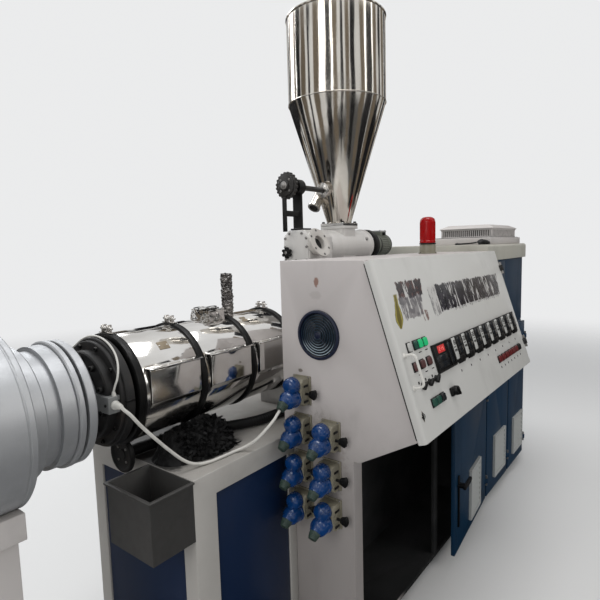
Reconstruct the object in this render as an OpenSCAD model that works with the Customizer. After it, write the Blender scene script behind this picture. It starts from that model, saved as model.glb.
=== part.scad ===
// Conical twin-screw plastic extruder with die head, operator cabinet, feeder and hopper.
// Sizes are in millimetres. X runs from the die to the drive end, -Y is the operator's side, Z is up.
// The barrel's axis lies over the line y = 0 and the floor is z = 0.

/* [Machine] */
// Height of the barrel's axis above the floor
axis_z = 1080; // [1000:5:1200]
// Half the width of the bed under the barrel
bed_half = 280; // [220:5:360]
// Height of the bed's top
bed_top = 825; // [760:5:860]
// Where the bed starts, ahead of the cabinet's end panel
bed_front = 480; // [400:10:700]

/* [Barrel] */
// Radius of the bright heat shields
shield_r = 172; // [150:1:190]
// Length of one shield section
shield_len = 209; // [170:1:250]
// Width of the black band between two shields
band_w = 26; // [16:1:40]
// Radius of the bare barrel
barrel_r = 96; // [70:1:110]

/* [Cabinet] */
// Distance of the cabinet's front doors from the barrel's axis
cab_front = 560; // [500:5:640]
// Distance of the cabinet's back wall from the barrel's axis
cab_back = 236; // [215:1:260]
// Height of the operator cabinet
cab_top = 1455; // [1380:5:1550]
// Length of the operator cabinet
cab_len = 1361; // [1200:5:1600]
// Sheet and flange thickness of the cabinet's walls
wall = 16; // [10:1:24]

/* [Console] */
// How far the console's lower edge stands out from the doors
console_out = 211; // [150:5:260]
// Height of the console's lower front edge
console_low = 891; // [840:5:920]
// Distance from the console's right end to the drive housing
console_end = 101; // [60:1:240]
// Thickness of the console's lid
lid_t = 28; // [18:1:36]

/* [Housing] */
// Length of the drive housing
housing_len = 802; // [700:1:1000]
// Height of the housing's blue sides
housing_top = 1400; // [1340:5:1450]
// Thickness of the housing's white roof
roof_t = 90; // [60:5:110]
// Height of the lower doors' top edge
door_top = 972; // [900:4:1040]
// Angle by which the first door stands ajar
ajar = 5; // [0:1:15]

/* [Feeder and hopper] */
// Distance of the hopper's axis from the drive housing
throat_in = 604; // [540:1:680]
// Radius of the hopper's straight part
hopper_r = 240; // [200:5:280]
// Height of the hopper's cone
cone_h = 580; // [450:10:620]
// Height of the hopper's straight part
drum_h = 400; // [300:10:500]
// Radius of the feeder's body
feeder_r = 78; // [70:1:84]
// Height of the feeder's axis above the floor
feeder_z = 1505; // [1500:1:1530]

/* [Die head] */
// Radius of the head's largest drum
drum_r = 235; // [200:5:260]
// Radius of the bolted flanges
flange_r = 176; // [150:1:190]

/* [Hidden] */
$fn = 64;
gap = 6;
door_t = 18;
front_y = -cab_front;
frame_y = front_y + door_t + gap;
back_y = -cab_back;
floor_z = 50;
housing_x = cab_len;
hopper_x = cab_len - throat_in;
console_len = cab_len - console_end;
end_x = cab_len + housing_len;
// The console's face runs from its top edge down and outwards.
face_top_y = front_y - 28;
face_top_z = cab_top - 6;
face_low_y = front_y - console_out;
under_y = front_y;
under_z = console_low - 120;
lean = atan2(face_top_y - face_low_y, face_top_z - console_low);
face_len = sqrt(pow(face_top_y - face_low_y, 2) + pow(face_top_z - console_low, 2));
lid_off = gap;
lid_out = lid_off + lid_t;
on_lid = lid_out + 0.05;
door1_w = 620;
door1_top = under_z - 16;
door_low = 58;
pin_r = 4;
pin_off = 5;
door_gap = 20;
hinge_in = 90;
axis_1 = cab_len;
axis_2 = cab_len + 425;
axis_3 = end_x;
lid_hinges = [110, face_len - 90];
shield_x0 = -556;
pitch = shield_len + band_w;
shields_end = shield_x0 + 3 * pitch + band_w / 2;
die_x = -700;
die_len = 330;
stand_z = axis_z - drum_r;
pad_top = feeder_z + feeder_r + 20;
pad_half = 68;
flange_t = 14;
cone_z = pad_top + flange_t;
neck_r = 60;
sheet = 5;
cone_top = cone_z + cone_h;
hopper_top = cone_top + drum_h;
wheel_x = hopper_x - 405;
wheel_z = cone_z + 156;
teeth = 20;
slant = atan2(hopper_r - neck_r, cone_h);
box_x = hopper_x - 357;
post_x = box_x + 12;
wheel_r = 60;
shaft_r = 12;
run_fit = 0.05;
seat = 0.3;
recess = 14;
bed_post = 90;
coupling_z = bed_top + 21;
coupling_r = axis_z - shield_r - coupling_z - 2;
panel_z0 = floor_z + 60;
panel_z1 = bed_top - 75;
socket_pitch = 141;
socket_low = under_z - 205;
socket_y = -cab_back - 90;
socket_dy = 122;
fan_y = -cab_back - 165;
fan_z = cab_top - 259;
ctrl_x = 392;
ctrl_pitch = (console_len - ctrl_x - 36) / 8;
jamb_x = axis_1 - pin_off - door1_w - 8;
seam = 4;
// The heater cable's points from the first plug over the bed to the adapter, the thin cable's points over the
// adapter (z from the barrel's axis), and the bed hose's points.
cable_r = 5;
cable_path = [[-132, -326, 949], [-148, -326, 937], [-164, -326, 925], [-194, -314, 897], [-216, -288, 864], [-236, -256, 840],
              [-270, -238, 831], [-320, -236, 831], [-370, -230, 831], [-415, -221, 838], [-455, -213, 862],
              [-500, -205, 908], [-545, -198, 960], [-585, -195, 1008], [-612, -190, 1046], [-627, -184, 1064], [-634, -178, 1075],
              [-634, -164, 1075], [-634, -150, 1075]];
thin_r = 3;
thin_half = [[-632, 144, 20.2], [-632, 144, 31], [-630, 149, 48], [-626, 156, 68], [-618, 151, 92], [-608, 133, 115],
             [-600, 107, 136], [-596, 72, 156.5], [-594, 25, 170]];
thin_path = [for (side = [-1, 1], i = [0 : 8])
                 let (p = thin_half[side < 0 ? i : 8 - i])
                     [p[0], side * p[1], axis_z + p[2]]];
hose_r = 20;
hose_path = [[-492, 25, 846], [-464, 25, 846], [-436, 25, 846], [-380, 20, 846], [-310, 8, 846], [-240, -18, 846], [-170, -58, 846],
             [-100, -100, 846], [-30, -128, 846], [40, -138, 846], [120, -138, 846], [150, -138, 846],
             [180, -138, 846]];

// A smooth run of points through p, with n steps from each point to the next.
function curve(p, n) =
    let (m = len(p), q = concat([2 * p[0] - p[1]], p, [2 * p[m - 1] - p[m - 2]]))
        concat([for (i = [1 : m - 1], j = [0 : n - 1])
                    let (t = j / n, a = q[i - 1], b = q[i], c = q[i + 1], d = q[i + 2])
                        0.5 * (2 * b + t * (c - a) + t * t * (2 * a - 5 * b + 4 * c - d)
                               + t * t * t * (3 * b - a - 3 * c + d))],
               [p[m - 1]]);

function unit(v) = v / norm(v);

// A round cord of radius r through the points p.
module cord(p, r, sides) {
    n = len(p);
    pts = [for (i = [0 : n - 1])
               let (t = unit(p[min(i + 1, n - 1)] - p[max(i - 1, 0)]),
                    u = unit(cross(t, [0, 0, 1])), w = cross(u, t))
                   for (k = [0 : sides - 1])
                       p[i] + r * (cos(360 * k / sides) * u + sin(360 * k / sides) * w)];
    faces = concat([[for (k = [0 : sides - 1]) k]],
                   [for (i = [0 : n - 2], k = [0 : sides - 1])
                        [i * sides + k, (i + 1) * sides + k, (i + 1) * sides + (k + 1) % sides,
                         i * sides + (k + 1) % sides]],
                   [[for (k = [sides - 1 : -1 : 0]) (n - 1) * sides + k]]);
    polyhedron(points = pts, faces = faces);
}

// Puts its children on the console's face, x along it and s down from its top edge.
module on_face(x, s, out = 0)
    translate([x, face_top_y - s * sin(lean), face_top_z - s * cos(lean)])
        rotate([90 - lean, 0, 0])
            translate([0, 0, out])
                children();

// A cylinder along X from a to b.
module bar_x(a, b, r, y = 0, z = axis_z)
    translate([a, y, z])
        rotate([0, 90, 0])
            cylinder(h = b - a, r = r);

// Where the far side's panels start.
function side_x(i) = -bed_front + bed_post + i * (housing_x + bed_front - bed_post) / 4;

module tube_x(a, b, r_out, r_in)
    difference() {
        bar_x(a, b, r_out);
        bar_x(a - 1, b + 1, r_in);
    }

module block(x0, x1, y0, y1, z0, z1)
    translate([x0, y0, z0])
        cube([x1 - x0, y1 - y0, z1 - z0]);

// Bed under the barrel: a closed box, wide ahead of the cabinet and narrower beside it, with panel recesses.
module bed_frame()
    color("gainsboro")
        difference() {
            union() {
                block(-bed_front, -seat, -bed_half, bed_half, floor_z, bed_top);
                block(-seat - 1, housing_x - seat, back_y + seat, bed_half, floor_z, bed_top);
            }
            block(-bed_front + bed_post, -40, -bed_half - 1, -bed_half + recess, panel_z0, panel_z1);
            for (i = [0 : 3])
                block(side_x(i), side_x(i + 1) - 60, bed_half - recess, bed_half + 1, panel_z0, panel_z1);
            block(-bed_front - 1, -bed_front + recess, -bed_half + 60, bed_half - 60, panel_z0, panel_z1);
        }

// Blue panels let into the bed's sides and end.
module bed_panels()
    color("steelblue") {
        t = 8;
        block(-bed_front + bed_post + 2, -42, -bed_half + recess - t, -bed_half + recess, panel_z0 + 2, panel_z1 - 2);
        for (i = [0 : 3])
            block(side_x(i) + 2, side_x(i + 1) - 62, bed_half - recess, bed_half - recess + t,
                  panel_z0 + 2, panel_z1 - 2);
        block(-bed_front + recess - t, -bed_front + recess, -bed_half + 62, bed_half - 62,
              panel_z0 + 2, panel_z1 - 2);
    }

// Open steel tray on the bed's end, and the hose's round coupling beside it.
module end_tray()
    color("dimgray") {
        difference() {
            union() {
                block(-bed_front - 150, -bed_front, -bed_half, -bed_half + 210, bed_top - 190, bed_top - 2);
                block(-bed_front - 158, -bed_front, -bed_half - 8, -bed_half + 218, bed_top - 8, bed_top - 2);
            }
            block(-bed_front - 146, -bed_front - 4, -bed_half + 4, -bed_half + 206, bed_top - 186, bed_top);
        }
        difference() {
            union() {
                bar_x(-bed_front - 44, -bed_front - 26, coupling_r, 25, coupling_z);
                bar_x(-bed_front - 26, -bed_front - 12, coupling_r * 0.567, 25, coupling_z);
            }
            bar_x(-bed_front - 50, -bed_front - 40, coupling_r - 14, 25, coupling_z);
        }
    }

// Bare barrel, from the front flange to the drive housing, on its two saddles.
module barrel()
    color("silver") {
        bar_x(shield_x0 - 24, housing_x, barrel_r);
        for (x = [shields_end + 40, hopper_x + 120])
            block(x, x + 90, -70, 70, bed_top, axis_z - 60);
        // Air box that the bed hose runs into
        block(180, 260, -166, -60, bed_top, bed_top + 2 * hose_r + 4);
    }

// Dark stepped adapter between the barrel and the die head, with a connector box on each side.
module adapter()
    color("dimgray") {
        tube_x(shield_x0 - 50, shield_x0 - 24.3, 168, 40);
        tube_x(shield_x0 - 62, shield_x0 - 50, 160, 40);
        tube_x(shield_x0 - 90, shield_x0 - 62, 134, 40);
        bar_x(die_x, shield_x0 - 60, 62);
        bar_x(die_x + 26, shield_x0 - 90, 84);
        for (y = [-150, 70])
            block(die_x + 46, die_x + 86, y, y + 80, axis_z - 30, axis_z + 20);
    }

// Outline of the flat boxes on a shield's sides.
module shield_sides()
    for (side = [-1, 1])
        polygon([[side * 60, 80], [side * (shield_r + 10), 80], [side * (shield_r + 10), -25], [side * 120, -95],
                 [side * 60, -95]]);

// One bright shield section: a round cover with a shorter box on each side.
module shield_at(i)
    translate([shield_x0 + band_w / 2 + i * pitch + 0.5, 0, axis_z])
        rotate([90, 0, 90])
            difference() {
                union() {
                    linear_extrude(height = shield_len - 1)
                        rotate(90)
                            circle(r = shield_r);
                    translate([0, 0, 8])
                        linear_extrude(height = shield_len - 17)
                            shield_sides();
                }
                translate([0, 0, -1])
                    linear_extrude(height = shield_len + 2)
                        rotate(90)
                            circle(r = barrel_r + 30);
            }

// Three bright heat shields in a row.
module heat_shields()
    color("silver")
        for (i = [0 : 2])
            shield_at(i);

// Black bands that close the shield sections' ends, each with a clamp screw on top.
module shield_bands()
    color("black")
        for (i = [0 : 3])
            translate([shield_x0 - band_w / 2 + i * pitch, 0, axis_z]) {
                rotate([90, 0, 90])
                    linear_extrude(height = band_w)
                        difference() {
                            circle(r = shield_r + 5);
                            circle(r = barrel_r + 0.2);
                        }
                for (y = [-14, 14])
                    translate([5, y - 4, shield_r - 6])
                        cube([band_w - 10, 8, 32]);
                translate([band_w / 2, 0, shield_r + 18])
                    rotate([90, 0, 0])
                        cylinder(h = 60, r = 4, center = true, $fn = 24);
            }

// Vent on the barrel with its wrapped pipe.
module barrel_vent()
    color("silver") {
        vx = shield_x0 + 2 * pitch;
        difference() {
            block(vx - 100, vx - 22, -50, 50, axis_z + shield_r - 30, axis_z + shield_r + 34);
            bar_x(vx - 110, vx, shield_r + seat);
        }
        difference() {
            translate([vx + 42, 0, axis_z + shield_r - 12])
                cylinder(h = 170, r = 24, $fn = 40);
            bar_x(vx, vx + 80, shield_r + seat);
        }
    }

// Stepped rings of the die head.
module die_rings()
    color("lightgray") {
        bar_x(die_x - 90, die_x - 50.2, flange_r - 4);
        bar_x(die_x - 130, die_x - 90, flange_r - 16);
        bar_x(die_x - 180, die_x - 130, flange_r + 4);
        bar_x(die_x - die_len, die_x - 180, drum_r);
    }

// Bolted pair of flanges with a groove between them and screw heads round the neck.
module die_flanges()
    color("silver") {
        bar_x(die_x - 24, die_x, flange_r + 3);
        bar_x(die_x - 34, die_x - 24, flange_r - 14);
        bar_x(die_x - 50, die_x - 34, flange_r + 5);
        for (a = [22.5 : 45 : 359])
            bar_x(die_x - 1, die_x + 12, 11, (flange_r - 34) * cos(a), axis_z + (flange_r - 34) * sin(a), $fn = 24);
    }

// Stand that carries the die head.
module die_stand()
    color("lightgray") {
        sx = die_x - die_len / 2 - 95;
        block(sx - 60, sx + 60, -120, 120, 20, stand_z - 40);
        block(sx - 90, sx + 110, -220, 220, 0, 20);
        difference() {
            block(sx - 70, sx + 70, -150, 150, stand_z - 40, stand_z + 30);
            bar_x(sx - 80, sx + 80, drum_r + seat);
        }
    }

// Operator cabinet with the console's shell in front of it.
module cabinet()
    color("whitesmoke") {
        // The inner plates reach a little into the end plates.
        bite = 2;
        // End panel with the console's side
        translate([wall, 0, 0])
            rotate([0, -90, 0])
                linear_extrude(height = wall)
                    difference() {
                        polygon([[floor_z, back_y], [floor_z, frame_y], [under_z, frame_y],
                                 [under_z, under_y], [console_low, face_low_y],
                                 [face_top_z, face_top_y], [cab_top, face_top_y + 6], [cab_top, back_y]]);
                        translate([fan_z, fan_y])
                            circle(r = 78);
                    }
        // Console's right end
        translate([console_len, 0, 0])
            rotate([0, -90, 0])
                linear_extrude(height = wall)
                    polygon([[under_z, frame_y], [under_z, under_y], [console_low, face_low_y],
                             [face_top_z, face_top_y], [cab_top, face_top_y + 6], [cab_top, frame_y]]);
        // Roof, back, floor, deck and the drive end's wall
        block(wall - bite, cab_len - 0.3, face_top_y + 6, back_y, cab_top - wall, cab_top);
        block(wall - bite, cab_len - 0.3, back_y - wall, back_y, floor_z, cab_top - wall + bite);
        block(wall - bite, cab_len - 0.3, frame_y, back_y - wall + bite, floor_z, floor_z + wall);
        block(wall - bite, cab_len - 0.3, frame_y, back_y - wall + bite, under_z, under_z + wall);
        block(cab_len - wall, cab_len - 0.3, frame_y, back_y - wall + bite, floor_z, cab_top - wall + bite);
        // Front wall between the console and the drive housing
        block(console_len - bite, cab_len - 0.3, frame_y, frame_y + wall, under_z, cab_top - wall + bite);
        // Console's underside
        translate([wall - bite, 0, 0])
            rotate([90, 0, 90])
                linear_extrude(height = console_len - 2 * wall + 2 * bite)
                    polygon([[frame_y, under_z], [under_y, under_z], [face_low_y, console_low],
                             [face_low_y + 4, console_low + 18], [under_y, under_z + wall + 2], [frame_y, under_z + wall]]);
        // Jambs of the lower bay
        block(wall - bite, 54, frame_y, frame_y + wall, floor_z, under_z + bite);
        block(jamb_x - 38, jamb_x, frame_y, frame_y + wall, floor_z, under_z + bite);
    }

// Levelling feet under the bed, the cabinet and the housing.
module feet()
    color("dimgray") {
        for (x = [-bed_front + 70, 0, cab_len - 90])
            for (y = [-1, 0, 1])
                if (x == 0 ? y == 0 : y != 0)
                    translate([x, y * (cab_back - 60), 0])
                        cylinder(h = floor_z, r = 36, $fn = 32);
        for (x = [80, cab_len - 90])
            translate([x, -cab_front + 80, 0])
                cylinder(h = floor_z, r = 36, $fn = 32);
        for (x = [cab_len + 90, end_x - 90])
            for (y = [-1, 1])
                translate([x, y * (cab_front - 110), 0])
                    cylinder(h = floor_z, r = 36, $fn = 32);
    }

// Round fan grille with concentric rings.
module fan_grille()
    color("midnightblue")
        translate([-8, fan_y, fan_z])
            rotate([0, 90, 0]) {
                for (r = [14, 27, 40, 53, 66])
                    rotate_extrude($fn = 48)
                        translate([r, 4])
                            square([3, 3], center = true);
                difference() {
                    cylinder(h = 8, r = 88);
                    translate([0, 0, -1])
                        cylinder(h = 10, r = 76);
                }
                for (a = [0 : 45 : 135])
                    rotate([0, 0, a])
                        translate([-79, -1.5, 5])
                            cube([158, 3, 3]);
            }

// Puts its children at each socket's middle on the end panel: four near the bed, three beside them.
module at_sockets()
    for (col = [0, 1])
        for (i = [0 : 3])
            if (col == 0 || i > 0)
                translate([0, socket_y - col * socket_dy, socket_low + (i - col * 1.02) * socket_pitch])
                    children();

// Beige socket housings with a sloping underside and a raised lid frame.
module socket_bodies()
    color("beige")
        at_sockets()
            translate([0, 34, 0])
                rotate([90, 0, 0])
                    linear_extrude(height = 68)
                        polygon([[0, -46], [0, 50], [-40, 50], [-52, 40], [-52, -34], [-34, -46]]);

// Black latch levers at the sockets' sides: a rod with a flared paddle.
module socket_levers()
    color("black")
        at_sockets()
            translate([-28, -34, -2]) {
                rotate([90, 0, 0])
                    cylinder(h = 20, r = 5, $fn = 24);
                translate([-6, -14, 0])
                    rotate([90, 0, 90])
                        linear_extrude(height = 12)
                            polygon([[0, -8], [-24, -18], [-34, 2], [-28, 20], [-4, 12]]);
            }

// Blue plugs: a domed lid above, the plug body below it and its gland aimed down and outwards.
module plugs()
    color("royalblue")
        at_sockets()
            translate([-52, 0, 0])
                rotate([0, -90, 0]) {
                    translate([30, 0, 0])
                        rotate_extrude($fn = 48)
                            polygon([[0, 0], [30, 0], [30, 20], [26, 31], [15, 38], [0, 40]]);
                    translate([-16, 0, 0])
                        rotate_extrude($fn = 48)
                            polygon([[0, 0], [34, 0], [34, 10], [32, 12], [32, 40], [26, 52], [12, 60], [0, 62]]);
                    translate([-16, 0, 48])
                        rotate([0, -atan2(3, 4), 0])
                            rotate_extrude($fn = 40)
                                polygon([[0, -14], [22, -14], [22, 16], [19, 18], [19, 28], [15, 40], [0, 40]]);
                }

// Console's lid: a thick folded panel that carries the controls, with its hinge knuckles.
module console_lid()
    color("whitesmoke") {
        on_face(-14, face_len + 6, lid_off)
            cube([console_len + 14, face_len + 4, lid_t]);
        for (s = lid_hinges)
            on_face(console_len + pin_off, s, lid_out + pin_off)
                rotate([-90, 0, 0])
                    knuckle();
    }

// Bow handle at the lid's left edge.
module lid_handle()
    color("white")
        on_face(14, 372, on_lid) {
            for (s = [-1, 1])
                translate([0, 52 * s, 0]) {
                    cylinder(h = 24, r = 5, $fn = 24);
                    cylinder(h = 3, r = 9, $fn = 24);
                    translate([0, -12 * s, 24])
                        rotate([90, 0, 90])
                            rotate_extrude(angle = s * 90, $fn = 48)
                                translate([s * 12, 0])
                                    circle(r = 5, $fn = 24);
                }
            translate([0, -40, 36])
                rotate([-90, 0, 0])
                    cylinder(h = 80, r = 5, $fn = 24);
        }

// Meter and the row of temperature controllers, each with a display recess and a rocker switch below.
module controllers()
    color("black") {
        w = ctrl_pitch - 12;
        on_face(207, 416, on_lid)
            difference() {
                cube([138, 88, 10]);
                translate([16, 44, 7])
                    cube([66, 32, 5]);
            }
        for (i = [0 : 7])
            on_face(ctrl_x + i * ctrl_pitch, 424, on_lid) {
                difference() {
                    cube([w, 98, 8]);
                    translate([8, 40, 5])
                        cube([w * 0.4, 50, 4]);
                }
                translate([w * 0.5, 6, 7])
                    cube([w * 0.4, 26, 7]);
            }
    }

// Push buttons, lamps, selector knobs and the lock.
module console_controls()
    color("darkred") {
        for (i = [0 : 3])
            on_face(64 + i * 46, 302, on_lid)
                cylinder(h = 12, r = 13, $fn = 24);
        for (i = [0 : 2])
            on_face(68 + i * 54, 365, on_lid)
                cylinder(h = 12, r = 15, $fn = 24);
        for (i = [0 : 2])
            on_face(82 + i * 54, 430, on_lid)
                cylinder(h = 16, r = 13, $fn = 24);
        for (i = [0 : 2])
            on_face(114 + i * 40, 495, on_lid)
                cylinder(h = 12, r = 13, $fn = 24);
        on_face(281, 497, on_lid)
            cylinder(h = 26, r = 16, $fn = 24);
        for (i = [0 : 6])
            on_face(console_len - 424 + i * 44, 497, on_lid)
                cylinder(h = 10, r = 12, $fn = 24);
        on_face(25, 511, on_lid)
            cylinder(h = 6, r = 14, $fn = 24);
    }

// Blue drive housing: closed behind a shallow compartment for its doors, with the seams of its side sheets.
module drive_housing()
    color("steelblue")
        difference() {
            block(housing_x, end_x, frame_y, cab_front, floor_z, housing_top);
            difference() {
                block(housing_x + wall, end_x - wall, frame_y - 1, back_y - wall, floor_z + wall, door_top - 10);
                block(axis_2 - 24, axis_2 + 16, frame_y - 2, frame_y + 24, floor_z, door_top);
            }
            block(axis_2 - 16, axis_2 - 16 + seam, frame_y - 1, frame_y + seam, door_top + 20, housing_top - 12);
            block(housing_x - 1, end_x + 1, frame_y - 1, frame_y + seam, door_top + 8, door_top + 8 + seam);
            for (x = [housing_x + 12, axis_2 - 16, end_x - 12 - seam])
                block(x, x + seam, cab_front - seam, cab_front + 1, floor_z + 40, housing_top - 12);
            for (z = [floor_z + 40, door_top + 8, housing_top - 12])
                block(housing_x + 12, end_x - 12, cab_front - seam, cab_front + 1, z, z + seam);
            for (y = [-cab_front + 60, cab_front - 60])
                block(end_x - seam, end_x + 1, y, y + seam, floor_z + 40, housing_top - 12);
            for (z = [floor_z + 40, door_top + 8, housing_top - 12])
                block(end_x - seam, end_x + 1, -cab_front + 60, cab_front - 60 + seam, z, z + seam);
        }

// White roof over the drive housing, with sloped front and back edges.
module roof_cover()
    color("whitesmoke")
        translate([housing_x, 0, 0])
            rotate([90, 0, 90])
                linear_extrude(height = housing_len + 6)
                    polygon([[front_y + 4, housing_top], [cab_front + 6, housing_top],
                             [cab_front + 6, housing_top + roof_t - 10], [cab_front - 4, housing_top + roof_t],
                             [front_y + 14, housing_top + roof_t], [front_y + 4, housing_top + roof_t - 10]]);

// The turning half of a hinge: a knuckle whose pin axis is the origin, its plate towards -X.
module knuckle()
    difference() {
        union() {
            cylinder(h = 28, r = pin_r + 4.5, $fn = 32);
            translate([-20, 0, 0])
                cube([20, pin_off, 28]);
        }
        translate([0, 0, -1])
            cylinder(h = 30, r = pin_r + run_fit, $fn = 32);
    }

// The fixed half: a pin between two lugs that reach back to the frame.
module pin_lugs(reach)
    translate([0, 0, -16]) {
        cylinder(h = 60, r = pin_r, $fn = 32);
        for (z = [0, 45])
            translate([-pin_r, -pin_r, z])
                cube([2 * pin_r, reach + pin_r, 15]);
    }

// A door leaf with two knuckles, its hinge axis on the origin and its leaf towards -X.
module leaf(w, h) {
    translate([-w - pin_off, pin_off, 0])
        cube([w, door_t, h]);
    for (z = [hinge_in, h - hinge_in - 28])
        translate([0, 0, z])
            knuckle();
}

module at_door(x, turn = 0)
    translate([x, front_y - pin_off, door_low])
        rotate([0, 0, turn])
            children();

module door_1()
    color("steelblue")
        at_door(axis_1, ajar)
            leaf(door1_w, door1_top - door_low);

module door_2()
    color("steelblue")
        at_door(axis_2)
            leaf(axis_2 - axis_1 - door_gap, door_top - door_low);

module door_3()
    color("steelblue")
        at_door(axis_3)
            leaf(axis_3 - axis_2 - door_gap, door_top - door_low);

// Fixed hinge halves of the doors and the console's lid.
module hinges()
    color("dimgray") {
        for (d = [[axis_1, door1_top], [axis_2, door_top], [axis_3, door_top]])
            for (z = [hinge_in, d[1] - door_low - hinge_in - 28])
                at_door(d[0])
                    translate([0, 0, z])
                        pin_lugs(frame_y - front_y + pin_off);
        for (s = lid_hinges)
            on_face(console_len + pin_off, s, lid_out + pin_off)
                rotate([-90, 0, 0]) {
                    pin_lugs(lid_out + pin_off + 40);
                    for (z = [-16, 29])
                        translate([-pin_off, lid_out + pin_off + seat, z])
                            cube([pin_off, 40, 15]);
                }
    }

// A white louvre cover: a shallow pan whose blades slope outwards and down.
module louvre(w, h)
    translate([-w, 0, 0]) {
        difference() {
            translate([0, -14, 0])
                cube([w, 14, h]);
            translate([14, -15, 14])
                cube([w - 28, 11, h - 28]);
        }
        n = floor((h - 36) / 26);
        for (i = [0 : n - 1])
            translate([12, 0, 20 + i * (h - 40) / n])
                rotate([90, 0, 90])
                    linear_extrude(height = w - 24)
                        polygon([[-3, 2], [-3, 22], [-12, 2], [-12, 0], [-10, 0]]);
    }

module louvre_1()
    color("whitesmoke")
        at_door(axis_1, ajar)
            translate([-170, pin_off, 52])
                louvre(200, 262);

module louvre_2()
    color("whitesmoke")
        translate([axis_2 - 81, front_y, 130])
            louvre(215, 250);

module louvre_3()
    color("whitesmoke")
        translate([axis_3 - 58, front_y, 130])
            louvre(215, 240);

// Lever handle and rod on the first door.
module door_handle()
    color("black")
        at_door(axis_1, ajar)
            translate([-door1_w, pin_off, 0]) {
                translate([40, -8, 122])
                    cube([14, 8, 250]);
                translate([47, -34, 327])
                    rotate([-90, 0, 0])
                        cylinder(h = 34, r = 13, $fn = 32);
                translate([30, -40, 316])
                    cube([104, 12, 22]);
                translate([134, -40, 327])
                    rotate([-90, 0, 0])
                        cylinder(h = 12, r = 11, $fn = 32);
            }

// Flat cooling unit on the roof: a plinth, a slotted casing and a lid with sloped edges.
module cooling_unit()
    color("white") {
        x0 = housing_x + 239;
        x1 = housing_x + 719;
        y0 = front_y + 52;
        y1 = front_y + 360;
        z0 = housing_top + roof_t;
        block(x0 - 100, x1 + 40, y0 - 22, y1 + 30, z0, z0 + 40);
        difference() {
            block(x0, x1, y0, y1, z0 + 40, z0 + 92);
            for (i = [0 : 14])
                translate([x0 - 1, y0 + 14 + i * (y1 - y0 - 28) / 15, z0 + 52])
                    cube([9, 11, 30]);
            for (i = [0 : 22])
                translate([x0 + 14 + i * (x1 - x0 - 28) / 23, y0 - 1, z0 + 52])
                    cube([11, 9, 30]);
        }
        intersection() {
            translate([0, y1 + 8, 0])
                rotate([90, 0, 0])
                    linear_extrude(height = y1 - y0 + 16)
                        polygon([[x0 - 8, z0 + 92], [x1 + 8, z0 + 92], [x1 + 8, z0 + 98], [x1 - 40, z0 + 118],
                                 [x0 + 40, z0 + 118], [x0 - 8, z0 + 98]]);
            translate([x0 - 8, 0, 0])
                rotate([90, 0, 90])
                    linear_extrude(height = x1 - x0 + 16)
                        polygon([[y0 - 8, z0 + 92], [y1 + 8, z0 + 92], [y1 + 8, z0 + 98], [y1 - 40, z0 + 118],
                                 [y0 + 40, z0 + 118], [y0 - 8, z0 + 98]]);
        }
    }

// Base of the warning beacon, with a flange and a stepped collar.
module beacon_base()
    color("gray")
        translate([cab_len - 431, back_y - 164, cab_top])
            rotate_extrude($fn = 64)
                polygon([[0, 0], [44, 0], [44, 4], [38, 6], [38, 44], [34, 46], [34, 52], [0, 52]]);

// Red lens of the beacon: a ribbed drum with a rounded top.
module beacon_lens()
    color("red")
        translate([cab_len - 431, back_y - 164, cab_top + 52])
            difference() {
                rotate_extrude($fn = 64)
                    polygon([[0, 0], [38, 0], [38, 8], [36, 10], [36, 104], [32, 116], [22, 124], [0, 126]]);
                for (a = [0 : 15 : 359])
                    rotate([0, 0, a])
                        translate([37, 0, 16])
                            cylinder(h = 84, r = 2, $fn = 16);
            }

// Cast feeder: an eight-sided end box, a round body with a domed end, the hopper's pad and the throat below.
module feeder_housing()
    color("gainsboro") {
        translate([hopper_x - 178, 0, feeder_z])
            rotate([0, 90, 0])
                rotate_extrude()
                    polygon([[0, 0], [feeder_r, 0], [feeder_r, 372], [feeder_r + 7, 374], [feeder_r + 7, 384],
                             [feeder_r - 2, 388], [feeder_r - 10, 402], [feeder_r - 24, 414], [feeder_r - 34, 421],
                             [0, 421]]);
        translate([box_x, 0, feeder_z])
            rotate([90, 0, 90])
                linear_extrude(height = 180)
                    polygon([[-75, -75], [75, -75], [75, 45], [45, 75], [-45, 75], [-75, 45]]);
        block(hopper_x - pad_half, hopper_x + pad_half, -pad_half, pad_half, feeder_z, pad_top);
        difference() {
            block(hopper_x - 60, hopper_x + 60, -60, 60, axis_z + 40, feeder_z);
            bar_x(hopper_x - 100, hopper_x + 100, barrel_r + seat);
        }
    }

// Black star knob on the feeder's end.
module feeder_knob()
    color("black")
        translate([box_x, 40, feeder_z - 27])
            rotate([0, -90, 0]) {
                cylinder(h = 16, r = 9, $fn = 24);
                translate([0, 0, 12])
                    linear_extrude(height = 18) {
                        circle(r = 17, $fn = 40);
                        for (a = [0 : 60 : 300])
                            rotate(a)
                                translate([19, 0])
                                    circle(r = 7, $fn = 24);
                    }
            }

// Round inspection flange that leans back, with six bolt holes.
module inspection_flange()
    color("gainsboro")
        difference() {
            translate([hopper_x - 317, -74, feeder_z + 4])
                rotate([66, 0, 0])
                    difference() {
                        union() {
                            translate([0, 0, -24])
                                cylinder(h = 48, r = 46, $fn = 48);
                            translate([0, 0, 24])
                                cylinder(h = 10, r = 70, $fn = 48);
                        }
                        translate([0, 0, 12])
                            cylinder(h = 40, r = 32, $fn = 48);
                        for (a = [30 : 60 : 330])
                            rotate([0, 0, a])
                                translate([58, 0, 20])
                                    cylinder(h = 20, r = 4.5, $fn = 24);
                    }
            block(hopper_x - 457, hopper_x - 57, -75 - seat, 75, feeder_z - 75 - seat, feeder_z + 75);
        }

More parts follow.
